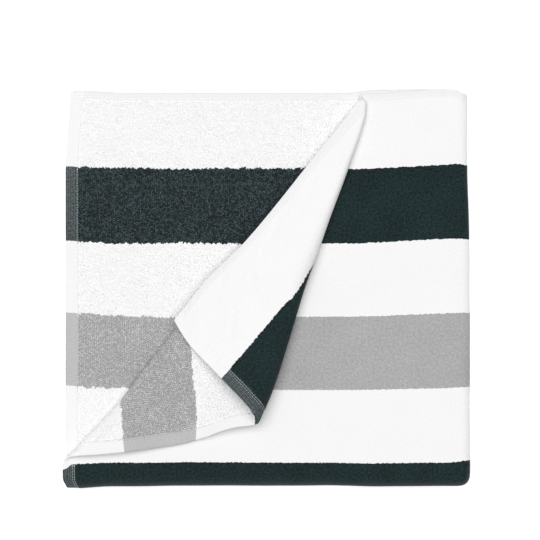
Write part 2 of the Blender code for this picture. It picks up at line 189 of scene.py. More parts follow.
class WaveRow(NamedTuple):
    """A soft wave in the stack: its share of the waves' height, its turns per metre and its phase."""

    share: float
    per_x: float
    per_y: float
    phase: float


class CreaseRow(NamedTuple):
    """A soft ridge in the cloth, or a trough where its height is below 0, about a place on the flat sheet.

    Turn is how far its length swings from along the towel to down it, in degrees.
    """

    along: float
    down: float
    turn: float
    half_length: float
    half_width: float
    height: float


class EdgeDraw(NamedTuple):
    """How far up the sheet one edge between stripes is drawn, near a run's hem and further and further in."""

    down: float
    at_hem: float
    near_hem: float
    quarter: float
    middle: float
    far: float


class RippleRow(NamedTuple):
    """Two low waves that cross on the flat sheet, each with its turns per metre and its phase."""

    share: float
    first_along: float
    first_down: float
    first_phase: float
    second_along: float
    second_down: float
    second_phase: float


class Patch(NamedTuple):
    """A rectangle of the flat sheet, by its first and last distance along it and down it."""

    along: tuple[float, float]
    down: tuple[float, float]


EDGES = (
    EdgeRow(0.5, 0.2180, 0.2172),
    EdgeRow(1.5, 0.2183, 0.2160),
    EdgeRow(2.5, 0.2168, 0.2176),
    EdgeRow(3.5, 0.2155, 0.2165),
)

CORNER = (
    CornerRow(0.003, 50.8, 0.0012, 0.0030, 0.0036, 0.0000, 97.0, 0.0012, 0.0030, 66.0),
    CornerRow(0.006, 50.8, 0.0013, 0.0032, 0.0042, 0.0000, 97.0, 0.0013, 0.0032, 60.0),
    CornerRow(0.011, 50.8, 0.0015, 0.0034, 0.0050, 0.0000, 95.0, 0.0015, 0.0034, 54.5),
    CornerRow(0.020, 50.8, 0.0019, 0.0038, 0.0064, 0.0000, 90.0, 0.0019, 0.0040, 52.0),
    CornerRow(0.035, 51.2, 0.0022, 0.0044, 0.0074, 0.0000, 83.5, 0.0025, 0.0047, 50.9),
    CornerRow(0.065, 51.8, 0.0025, 0.0048, 0.0085, 0.0002, 77.8, 0.0034, 0.0057, 50.5),
    CornerRow(0.105, 51.9, 0.0031, 0.0052, 0.0105, 0.0008, 74.7, 0.0050, 0.0078, 50.6),
    CornerRow(0.155, 51.9, 0.0042, 0.0060, 0.0154, 0.0018, 73.1, 0.0095, 0.0112, 50.8),
    CornerRow(0.215, 51.8, 0.0056, 0.0070, 0.0211, 0.0030, 72.2, 0.0130, 0.0130, 50.5),
    CornerRow(0.275, 51.6, 0.0078, 0.0084, 0.0266, 0.0042, 72.4, 0.0145, 0.0145, 49.2),
    CornerRow(0.335, 51.2, 0.0104, 0.0104, 0.0322, 0.0062, 72.3, 0.0145, 0.0180, 49.5),
    CornerRow(0.390, 51.3, 0.0114, 0.0118, 0.0392, 0.0085, 71.6, 0.0130, 0.0240, 49.5),
    CornerRow(0.445, 51.4, 0.0116, 0.0120, 0.0460, 0.0085, 71.6, 0.0130, 0.0240, 49.5),
    CornerRow(0.500, 50.8, 0.0080, 0.0090, 0.0340, 0.0085, 71.6, 0.0130, 0.0240, 49.5),
    CornerRow(0.535, 49.9, 0.0034, 0.0046, 0.0150, 0.0085, 71.6, 0.0130, 0.0240, 49.5),
)

REACHES = (
    ReachRow(0.0, 0.970),
    ReachRow(2.0, 0.983),
    ReachRow(5.7, 1.000),
    ReachRow(13.5, 1.012),
    ReachRow(20.0, 1.021),
    ReachRow(24.0, 1.033),
    ReachRow(28.0, 1.034),
    ReachRow(33.0, 1.034),
    ReachRow(36.0, 1.027),
    ReachRow(42.0, 1.021),
    ReachRow(46.0, 1.015),
    ReachRow(50.5, 1.000),
)

# The two ends of a shift that is already in over the whole towel.
ANYWHERE = (-1.0, -0.9)

SHIFTS = (
    ShiftRow(0.0, 0.0059, 0.088, 0.218, -0.300, 0.135, 1.0, 0.0),
    ShiftRow(0.0, 0.0040, 0.088, 0.123, -0.300, 0.135, 0.0, 1.0),
    ShiftRow(0.0, 0.0019, *ANYWHERE, 0.020, 0.205, 1.0, 1.0),
    ShiftRow(0.0, 0.0022, -0.165, -0.205, 0.150, 0.210, 1.0, 1.0),
    ShiftRow(0.0, -0.0018, -0.175, -0.215, -0.170, -0.200, 1.0, 1.0),
    ShiftRow(0.0, -0.0042, 0.2115, 0.2260, 0.170, 0.215, 1.0, 1.0),
    ShiftRow(0.0, -0.0016, 0.2115, 0.2260, 0.020, 0.120, 1.0, 1.0),
    ShiftRow(0.0, 0.0016, 0.2115, 0.2260, -0.080, -0.170, 1.0, 1.0),
    ShiftRow(0.0, -0.0012, 0.060, 0.130, -0.120, -0.200, 1.0, 1.0),
    ShiftRow(0.0, -0.0011, -0.080, -0.160, -0.120, -0.200, 1.0, 1.0),
    ShiftRow(0.0052, 0.0, 0.020, -0.180, 0.135, 0.220, 1.0, 1.0),
    ShiftRow(0.0010, 0.0, -0.200, -0.220, -0.160, -0.180, 1.0, 1.0),
    ShiftRow(0.0042, 0.0, -0.200, -0.220, -0.209, -0.221, 1.0, 1.0),
    ShiftRow(0.0016, 0.0, 0.120, 0.220, *ANYWHERE, 1.0, 1.0),
    ShiftRow(-0.0026, 0.0, 0.120, 0.220, 0.020, 0.140, 1.0, 1.0),
)

CREASES = (
    CreaseRow(0.158, 0.015, -20.0, 0.026, 0.0058, -0.0026),
    CreaseRow(0.130, 0.022, -47.0, 0.012, 0.0042, -0.0022),
    CreaseRow(0.102, 0.034, -47.0, 0.017, 0.0044, -0.0026),
    CreaseRow(0.086, 0.018, -30.0, 0.012, 0.0050, -0.0018),
    CreaseRow(0.050, 0.052, -38.0, 0.026, 0.0072, -0.0034),
    CreaseRow(0.022, 0.030, -70.0, 0.016, 0.0065, -0.0022),
    CreaseRow(0.018, 0.100, -60.0, 0.020, 0.0070, 0.0024),
    CreaseRow(0.205, 0.020, -14.0, 0.034, 0.0090, 0.0028),
)

# Each table of drawn edges follows the distances from the run's hem that its columns stand for.
TOP_DRAWN_AT = (0.0015, 0.0120, 0.300, 0.420, 0.462)

TOP_DRAWN = (
    EdgeDraw(0.0000, 0.0000, 0.0000, 0.0000, 0.0000, 0.0000),
    EdgeDraw(0.0818, 0.0000, 0.0000, 0.0020, 0.0008, 0.0022),
    EdgeDraw(0.1636, 0.0000, 0.0000, 0.0004, 0.0005, 0.0003),
    EdgeDraw(0.2455, 0.0000, 0.0000, -0.0008, -0.0008, -0.0001),
    EdgeDraw(0.3273, 0.0000, 0.0000, 0.0016, 0.0014, 0.0026),
    EdgeDraw(0.4091, -0.0035, 0.0024, 0.0013, 0.0018, 0.0032),
    EdgeDraw(0.4500, -0.0010, 0.0000, 0.0000, 0.0000, 0.0000),
)

TURNED_DRAWN_AT = (0.006, 0.030, 0.055, 0.118, 0.165)

TURNED_DRAWN = (
    EdgeDraw(0.0400, 0.0000, 0.0000, 0.0000, 0.0000, 0.0000),
    EdgeDraw(0.0680, 0.0000, 0.0000, 0.0000, 0.0000, 0.0062),
    EdgeDraw(0.0900, 0.0000, 0.0000, 0.0000, 0.0000, 0.0062),
    EdgeDraw(0.1200, 0.0000, 0.0000, 0.0000, 0.0000, 0.0000),
    EdgeDraw(0.1636, 0.0000, 0.0015, 0.0019, 0.0019, 0.0019),
    EdgeDraw(0.2455, 0.0034, 0.0046, 0.0050, 0.0084, 0.0084),
    EdgeDraw(0.3273, 0.0041, 0.0048, 0.0032, 0.0000, 0.0000),
    EdgeDraw(0.3900, 0.0000, 0.0000, 0.0000, 0.0000, 0.0000),
)

SECOND_DRAWN_AT = (0.004, 0.022, 0.062, 0.118, 0.210)

SECOND_DRAWN = (
    EdgeDraw(0.0000, 0.0010, 0.0000, 0.0000, 0.0000, 0.0000),
    EdgeDraw(0.0818, 0.0037, 0.0026, 0.0024, 0.0010, 0.0016),
    EdgeDraw(0.1636, 0.0027, 0.0012, -0.0004, 0.0001, -0.0011),
    EdgeDraw(0.2455, 0.0034, 0.0016, -0.0008, -0.0024, -0.0026),
    EdgeDraw(0.3273, 0.0062, 0.0040, 0.0034, 0.0020, 0.0000),
    EdgeDraw(0.4091, 0.0000, 0.0000, 0.0000, 0.0000, 0.0000),
)

WAVES = (
    WaveRow(1.0, 23.0, 9.0, 0.0),
    WaveRow(0.8, -14.0, 31.0, 1.0),
)

RIPPLES = (
    RippleRow(1.0, 41.0, 17.0, 0.4, -11.0, 29.0, 1.3),
    RippleRow(0.6, 83.0, -37.0, 2.0, 19.0, 61.0, 0.0),
)


class CornerSection:
    """The turned-back corner, cut at each of many reaches from the apex.

    Its cloth runs from the top layer over the crease, back under itself, over the ridge and out to the
    side hem.
    """

    def __init__(self, folds: "FoldMap", reach: Array) -> None:
        """Works out the section at each reach.

        Args:
            folds: The fold map, for its sizes.
            reach: Distances from the apex.
        """
        row = CornerRow(*smooth_rows(CORNER, reach))
        self.folds, self.row = folds, row
        self.closed = ease((reach - folds.fold_starts) / (folds.fold_closes - folds.fold_starts))
        self.turn = math.pi * np.maximum(self.closed, folds.step)
        self.clearance = mix(folds.pinched_clearance, folds.layer_clearance, 1 - folds.pinch(reach))
        crease_angle, ridge_angle = np.radians(row.crease_angle), np.radians(row.ridge_angle)
        edge_angle = np.radians(row.edge_angle)
        self.lift_angle = crease_angle + row.crease_radius / reach
        ridge_arc = math.pi * (row.ridge_radius / 2 + row.ridge_height / 4)
        under = reach * (ridge_angle - self.lift_angle) - row.ridge_radius
        over = reach * (ridge_angle - edge_angle) - row.ridge_radius
        cloth = reach * self.lift_angle
        to_ridge = cloth - reach * folds.ridge_cloth_angle
        before_ridge = to_ridge - row.crease_cloth - ridge_arc / 2
        after_ridge = cloth - to_ridge - ridge_arc / 2
        true_lengths = row.crease_cloth, before_ridge, ridge_arc, after_ridge
        shown = row.crease_cloth, under, ridge_arc, over
        stretch = cloth / sum(shown)
        settled = ease((reach - folds.pinched_to) / folds.pinched_to)
        lengths = [mix(even * stretch, true, settled) for even, true in zip(shown, true_lengths)]
        self.crease_cloth, self.under_cloth, self.ridge_cloth, self.over_cloth = lengths
        self.under_plan = mix(self.under_cloth, under, self.closed)
        self.over_plan = mix(self.over_cloth, over, self.closed)
        self.crease_axes = self.axes(self.crease_cloth, row.crease_radius, row.crease_height)
        self.ridge_axes = self.axes(self.ridge_cloth, row.ridge_radius, row.ridge_height)

    def axes(self, cloth: Array, radius: Array, height: Array) -> tuple[Array, Array]:
        """A bend's half width and height: an arc while it opens, the table's roll once it is closed."""
        arc = cloth / self.turn
        return mix(arc, radius, self.closed), mix(arc, height / 2, self.closed)

    def place(self, out: Array) -> tuple[Array, Array]:
        """How far across and up points lie.

        Args:
            out: Distances along the cloth past the lift line, less than 0 before it.

        Returns:
            The distances across the corner and up from the top layer's own plane.
        """
        turn, closed = self.turn, self.closed
        sin_turn, cos_turn = np.sin(turn), np.cos(turn)
        before = np.minimum(out, 0.0)
        wide, high = self.crease_axes
        part = clamp(out / self.crease_cloth) * turn
        lean = 1 + self.folds.fold_lean * closed
        across = before + wide * np.sin(part)
        up = high * (1 - cos_turn) * clamp((1 - np.cos(part)) / (1 - cos_turn)) ** lean
        edge_up = mix(0.0, up + self.clearance, closed)
        out = np.maximum(out - self.crease_cloth, 0.0)
        share = clamp(out / self.under_cloth)
        slack = self.under_cloth - self.under_plan
        slack_from = self.folds.slack_from
        taken_up = np.where(slack > 0, ease((share - slack_from) / (1 - slack_from)), share)
        straight = share * self.under_cloth - slack * taken_up
        drop = closed * np.maximum(0.0, up - self.clearance)
        across = across + straight * cos_turn
        up = up + self.folds.opening_rise * straight * sin_turn - drop * ease(2 * share)
        up = up + closed * self.row.climb * ease(2 * share - 1)
        out = np.maximum(out - self.under_cloth, 0.0)
        wide, high = self.ridge_axes
        part = (1 - clamp(out / self.ridge_cloth)) * turn
        across = across + wide * (sin_turn - np.sin(part))
        up = up + high * (1 - cos_turn) * clamp((np.cos(part) - cos_turn) / (1 - cos_turn)) ** lean
        share = np.maximum(out - self.ridge_cloth, 0.0) / self.over_cloth
        sag = self.folds.corner_sag * ease((self.row.reach - self.folds.sag_from) / self.folds.sag_over)
        sag = sag * np.sin(math.pi * clamp(share)) ** 2
        return across + share * self.over_plan, mix(up, mix(up, edge_up, closed), ease(share)) - sag


@dataclass(frozen=True)
class FoldMap:
    """Carries places on the flat sheet to the folded towel: four runs, folded across into eight layers.

    A layer's level is its distance from the stack's middle, counted in layers. The outer bend drops three
    levels, and the two inner bends climb one each, so that the last run comes to lie next to the top one.
    """

    to_middle: tuple[float, float, float] = (0.0005, 0.0002, 0.0005)
    stack_thickness: float = 0.0030
    top_level: float = 3.5
    rise_open: float = 0.0043  # from one layer to the next at the loose edges
    rise_roll: float = 0.0058  # the same at the roll, where the stack is fuller
    rise_right: float = 0.0004  # added over the right-hand bends
    right_from: float = 0.130  # X from which the right-hand bends lift the stack
    right_full: float = 0.220  # X at which they have lifted it fully
    roll_settles: float = 0.200  # distance from the roll in which the stack thins to its loose height
    wave_rise: float = 0.00010  # how far a layer's rise swells and dips across the stack
    waves_settle: float = 0.050  # distance from the roll in which the waves come in
    top_hem_x: float = -0.2290
    second_hem_x: float = -0.2251
    inner_bend_x: float = 0.2144
    outer_bend_x: float = 0.2174
    outer_bend_radius: float = 0.0075
    inner_bend_radius: float = 0.0025
    left_bend_in: float = 0.0030  # how far the left-hand bend is drawn in under the layers above it
    bottom_hem_in: float = 0.0042  # how far the lowest layer's hem is drawn in under them
    drawn_slack: float = 0.050  # length of cloth that is drawn in with that bend or that hem
    roll_y: float = -0.1991
    top_edge_y: float = 0.2155
    apex_x: float = 0.1104
    ridge_cloth_angle: float = math.radians(24.0)  # where the ridge lies on the flat sheet
    layer_clearance: float = 0.0046  # from one turned-back layer to the next
    fold_starts: float = 0.003  # reach at which the sheet begins to leave its plane
    fold_closes: float = 0.009  # reach at which crease and ridge are turned right over
    pinched_to: float = 0.026  # reach to which the cloth is crushed by its own folds
    pinched_share: float = 1 / 3  # share of its thickness that it keeps at the apex
    pinched_clearance: float = 0.0030  # the layers' clearance at the apex
    opening_rise: float = 0.45  # how steeply the layer under the ridge climbs near the apex
    softened_to: float = 0.012  # reach to which the folds' sharp start is rounded off
    soft_ring: float = 0.0012  # how wide they are rounded off at the apex itself
    ring_points: int = 8
    corner_sag: float = 0.0030  # how far the flap sags between its ridge and its edge
    sag_from: float = 0.12  # reach at which the flap begins to sag
    sag_over: float = 0.20  # reach in which the sag comes in
    slack_from: float = 0.4  # share of the layer under the ridge before its slack is taken up
    fold_lean: float = 0.8  # how much later than an even arc a closed bend rises
    half_outer_drop: float = 1.5  # half of the levels that the outer bend drops
    step: float = 1e-5  # distance over which the sheet's slope is measured

    @property
    def outer_arc(self) -> float:
        """Length of cloth in the outer bend."""
        return math.pi * self.outer_bend_radius

    @property
    def inner_arc(self) -> float:
        """Length of cloth in each inner bend."""
        return math.pi * self.inner_bend_radius

    @property
    def runs(self) -> tuple[float, float, float, float]:
        """The lengths of the four runs, which with the bends make up the towel's length.

        Returns:
            The lengths, from the top run to the last.
        """
        top, last = self.outer_bend_x - self.top_hem_x, self.inner_bend_x - self.second_hem_x
        bends = self.outer_arc + 2 * self.inner_arc
        spare = self.outer_bend_x + self.inner_bend_x + top + last + bends - TOWEL_LENGTH
        return top, self.outer_bend_x - spare / 2, self.inner_bend_x - spare / 2, last

    @property
    def left_bend_x(self) -> float:
        """Where the second run turns into the third."""
        return self.outer_bend_x - self.runs[1]

    @property
    def roll_starts(self) -> float:
        """The distance down at which the roll begins."""
        return self.top_edge_y - self.roll_y

    @property
    def roll_radius(self) -> float:
        """The roll's radius, half-way through the top layer."""
        return self.top_level * self.rise_roll

    @property
    def roll_ends(self) -> float:
        """The distance down at which the roll ends."""
        return self.roll_starts + math.pi * self.roll_radius

    @property
    def apex_along(self) -> float:
        """The apex's distance from the top hem."""
        return self.apex_x - self.top_hem_x

    def reach(self, along: Array, down: Array) -> Array:
        """The distance from the apex on the flat sheet."""
        return np.hypot(self.apex_along - along, down)

    def pinch(self, reach: Array) -> Array:
        """How crushed the cloth is at this reach: 1 at the apex, 0 where it has its own thickness."""
        return 1 - ease((reach - self.fold_starts) / (self.pinched_to - self.fold_starts))

    def level_and_x(self, along: Array) -> tuple[Array, Array]:
        """The level and the X of places along the towel, through its four runs and three bends.

        Args:
            along: Distances from the top hem.

        Returns:
            The levels and the X values.
        """
        top, second, third, _ = self.runs
        ends = np.cumsum([top, self.outer_arc, second, self.inner_arc, third, self.inner_arc])
        past = [along - start for start in (0.0, *ends)]
        outer = past[1] / self.outer_bend_radius
        left, right = past[3] / self.inner_bend_radius, past[5] / self.inner_bend_radius
        level = np.select(
            [along <= end for end in ends],
            [
                self.top_level + 0 * along,
                self.top_level - self.half_outer_drop + self.half_outer_drop * np.cos(outer),
                self.top_level - 3 + 0 * along,
                self.top_level - 2.5 - 0.5 * np.cos(left),
                self.top_level - 2 + 0 * along,
                self.top_level - 1.5 - 0.5 * np.cos(right),
            ],
            self.top_level - 1,
        )
        x = np.select(
            [along <= end for end in ends],
            [
                self.top_hem_x + along,
                self.outer_bend_x + self.outer_bend_radius * np.sin(outer),
                self.outer_bend_x - past[2],
                self.left_bend_x - self.inner_bend_radius * np.sin(left),
                self.left_bend_x + past[4],
                self.inner_bend_x + self.inner_bend_radius * np.sin(right),
            ],
            self.inner_bend_x - past[6],
        )
        return level, x

    def drawn_right(self, along: Array, down: Array) -> Array:
        """How far to the right cloth is drawn in: at the left-hand bend, and at the lowest layer's hem.

        Args:
            along: Distances from the top hem.
            down: Distances from the back side hem.

        Returns:
            The distances in +X.
        """
        bend = sum(self.runs[:2]) + self.outer_arc + self.inner_arc / 2
        turned_under = ease(2 * (down - self.roll_starts) / (self.roll_ends - self.roll_starts) - 1)
        at_hem = self.bottom_hem_in * ease(1 - along / self.drawn_slack) * turned_under
        return self.left_bend_in * ease(1 - np.abs(along - bend) / self.drawn_slack) + at_hem

    def layer_rise(self, x: Array, y: Array) -> Array:
        """The height from one layer to the next.

        Args:
            x: Folded places, to the right.
            y: Folded places, to the back.

        Returns:
            The heights, larger near the roll and the right-hand bends.
        """
        near_roll = ease(1 - (y - self.roll_y) / self.roll_settles)
        near_bends = ease((x - self.right_from) / (self.right_full - self.right_from))
        wave = sum(row.share * np.sin(row.per_x * x + row.per_y * y + row.phase) for row in WAVES)
        wave = wave * ease((y - self.roll_y) / self.waves_settle)
        loose = self.rise_open + self.rise_right * near_bends + self.wave_rise * wave
        return mix(loose, self.rise_roll, near_roll)

    def stack_shift(self, x: Array, y: Array, depth: Array) -> tuple[Array, Array]:
        """How far the stack lies off its plain rectangle.

        Args:
            x: Folded places, to the right.
            y: Folded places, to the back.
            depth: 0 for the top layer and 1 for the layers below it.

        Returns:
            The shifts in X and in Y.
        """
        shift_x, shift_y = np.zeros_like(x), np.zeros_like(x)
        for row in SHIFTS:
            share = ease((x - row.from_x) / (row.to_x - row.from_x)) * mix(row.top, row.below, depth)
            share = share * ease((y - row.from_y) / (row.to_y - row.from_y))
            shift_x, shift_y = shift_x + row.shift_x * share, shift_y + row.shift_y * share
        return shift_x, shift_y

    def corner_place(self, along: Array, down: Array) -> tuple[Array, Array, Array]:
        """Places in the top layer, whose corner is turned back.

        Args:
            along: Distances from the top hem.
            down: Distances from the back side hem.

        Returns:
            The X values, the Y values and the heights over the top layer's own plane.
        """
        reach = self.reach(along, down)
        flat = (along >= self.apex_along) | (reach <= self.fold_starts)
        reach = np.maximum(reach, self.fold_starts)
        cloth_angle = np.arctan2(down, np.where(flat, 1.0, self.apex_along - along))
        section = CornerSection(self, reach)
        across, up = section.place(reach * (section.lift_angle - cloth_angle))
        plan_angle = section.lift_angle - across / reach
        share = smooth_rows(REACHES, np.degrees(cloth_angle))[1]
        plan_reach = reach * mix(share, 1.0, self.pinch(reach))
        x = self.apex_x - plan_reach * np.cos(plan_angle)
        y = self.top_edge_y - plan_reach * np.sin(plan_angle)
        x = np.where(flat, self.top_hem_x + along, x)
        y = np.where(flat, self.top_edge_y - down, y)
        return x, y, np.where(flat, 0.0, up)

    def sharp_place(self, along: Array, down: Array) -> Array:
        """Folded places half-way through the thickness, before the apex is rounded off.

        Args:
            along: Distances from the top hem.
            down: Distances from the back side hem.

        Returns:
            The places, one row for each.
        """
        level, x = self.level_and_x(along)
        x = x + self.drawn_right(along, down)
        edge = EdgeRow(*smooth_rows(EDGES, level))
        lower = down > (self.roll_starts + self.roll_ends) / 2
        rolled = (self.roll_starts <= down) & (down <= self.roll_ends)
        depth = np.where(lower, 1.0, clamp((self.top_level - level) / self.half_outer_drop))
        turn = math.pi * clamp((down - self.roll_starts) / (self.roll_ends - self.roll_starts))
        roll_y = self.roll_y - level * self.rise_roll * np.sin(turn)
        roll_z = self.roll_radius + level * self.rise_roll * np.cos(turn)
        beyond = (down - self.roll_ends) / (TOWEL_WIDTH - self.roll_ends)
        lower_y = self.roll_y + (edge.lower_y - self.roll_y) * beyond
        lower_z = (self.top_level - level) * self.layer_rise(x, lower_y)
        upper_y = self.roll_y + (edge.upper_y - self.roll_y) * (self.roll_starts - down) / self.roll_starts
        up = np.zeros_like(x)
        corner = (along <= self.runs[0]) & ~lower & ~rolled
        if corner.any():
            x = x.copy()
            x[corner], upper_y[corner], up[corner] = self.corner_place(along[corner], down[corner])
        upper_z = (self.top_level + level) * self.layer_rise(x, upper_y) + up
        y = np.where(rolled, roll_y, np.where(lower, lower_y, upper_y))
        z = self.stack_thickness / 2 + np.where(rolled, roll_z, np.where(lower, lower_z, upper_z))
        shift_x, shift_y = self.stack_shift(x, y, depth)
        return np.stack([x + shift_x, y + shift_y, z], axis=1)

    def mid_place(self, along: Array, down: Array) -> Array:
        """Folded places half-way through the thickness, with the apex rounded off.

        Args:
            along: Distances from the top hem.
            down: Distances from the back side hem.

        Returns:
            The places, one row for each.
        """
        places = self.sharp_place(along, down)
        reach = self.reach(along, down)
        near = (along < self.runs[0]) & (reach < self.softened_to)
        if near.any():
            ring = self.soft_ring * (1 - ease(reach[near] / self.softened_to))
            total = np.zeros((int(near.sum()), 3))
            for i in range(self.ring_points):
                angle = math.tau * i / self.ring_points
                beside = along[near] + ring * math.cos(angle), down[near] + ring * math.sin(angle)
                total += self.sharp_place(*beside)
            places[near] = total / self.ring_points
        return places

    def frames(self, along: Array, down: Array) -> tuple[Array, Array, Array, Array]:
        """The folded places with the directions of the cloth there.

        Args:
            along: Distances from the top hem.
            down: Distances from the back side hem.

        Returns:
            The places, the directions along and down the cloth, and the way its velour face points.
        """
        step = self.step
        run = self.mid_place(along + step, down) - self.mid_place(along - step, down)
        fall = self.mid_place(along, down + step) - self.mid_place(along, down - step)
        facing = unit(np.cross(fall, run))
        return self.mid_place(along, down) + np.array(self.to_middle), unit(run), unit(fall), facing

    def crushed(self, along: Array, down: Array) -> Array:
        """The share of its thickness that the cloth keeps near the apex."""
        pinch = np.where(along < self.runs[0], self.pinch(self.reach(along, down)), 0.0)
        return mix(1.0, self.pinched_share, pinch)


def unit(vectors: Array) -> Array:
    """The vectors, each one metre long."""
    return vectors / np.linalg.norm(vectors, axis=1, keepdims=True)


# ----------------------------------------------------------------------------------------------------------
# Finishes


def linear(red: int, green: int, blue: int) -> tuple[float, float, float, float]:
    """A dyer's 0 to 255 colour as the shader's linear one."""
    shares = (value / 255 for value in (red, green, blue))
    return (*(s / 12.92 if s <= 0.04045 else ((s + 0.055) / 1.055) ** 2.4 for s in shares), 1.0)


def mottled(red: int, green: int, blue: int, mottle: float) -> tuple[float, float, float, float]:
    """A dyer's colour whose fourth number is how far its yarns differ from each other, as a share; on the
    loops that spread is also painted glints of light.
    """
    return (*linear(red, green, blue)[:3], mottle)


class Nodes:
    """Adds and joins the nodes of one material."""

    def __init__(self, tree: bpy.types.NodeTree) -> None:
        """Keeps the tree that the nodes go into."""
        self.tree = tree

    def add(self, kind: str, **settings: object) -> bpy.types.Node:
        """Adds a node.

        Args:
            kind: The node's kind.
            settings: Its settings, by name.

        Returns:
            The new node.
        """
        node = self.tree.nodes.new(kind)
        for name, value in settings.items():
            setattr(node, name, value)
        return node

    def join(self, source: object, target: Socket) -> None:
        """Links a socket, or writes a number, to an input.

        Args:
            source: The socket or the number.
            target: The input.
        """
        if isinstance(source, Socket):
            self.tree.links.new(source, target)
        else:
            target.default_value = source

    def maths(self, operation: str, first: object, second: object = 0.0) -> Socket:
        """Adds a sum.

        Args:
            operation: What it does.
            first: Its first socket or number.
            second: Its second one.

        Returns:
            Its result.
        """
        node = self.add("ShaderNodeMath", operation=operation)
        self.join(first, node.inputs[0])
        self.join(second, node.inputs[1])
        return node.outputs[0]

    def split(self, vector: Socket) -> tuple[Socket, ...]:
        """Splits a vector.

        Args:
            vector: The vector.

        Returns:
            Its three numbers.
        """
        node = self.add("ShaderNodeSeparateXYZ")
        self.join(vector, node.inputs[0])
        return tuple(node.outputs)

    def noise(self, vector: Socket, scale: float, detail: float) -> Socket:
        """Adds a soft noise.

        Args:
            vector: The place that it is read at.
            scale: How fine it is.
            detail: How many finer noises it holds.

        Returns:
            The noise, about 0 to 1.
        """
        node = self.add("ShaderNodeTexNoise")
        self.join(vector, node.inputs["Vector"])
        node.inputs["Scale"].default_value = scale
        node.inputs["Detail"].default_value = detail
        return node.outputs["Fac"]

    def centred(self, value: Socket) -> Socket:
        """A 0 to 1 value as -1 to 1."""
        return self.maths("SUBTRACT", self.maths("MULTIPLY", value, 2.0), 1.0)


class Weave(Enum):
    """The towel's surfaces, the yarn of its loops and its sewing thread."""

    VELOUR = "velour"
    TERRY = "terry"
    END_HEM = "end_hem"
    SIDE_HEM = "side_hem"
    LOOP = "loop"
    THREAD = "thread"


@dataclass(frozen=True)
class Dyes:
    """The three colours of the stripes in one surface, each with the mottle of its yarns, which on the loops
    is also painted glints of light.
    """

    white: tuple[float, float, float, float]
    dark: tuple[float, float, float, float]
    grey: tuple[float, float, float, float]

    def stripes(self) -> list[tuple[float, float, float, float]]:
        """The colours of the stripes, from the back side hem down."""
        order = (self.white, self.dark, self.white, self.grey)
        return [order[i % len(order)] for i in range(STRIPE_COUNT)]


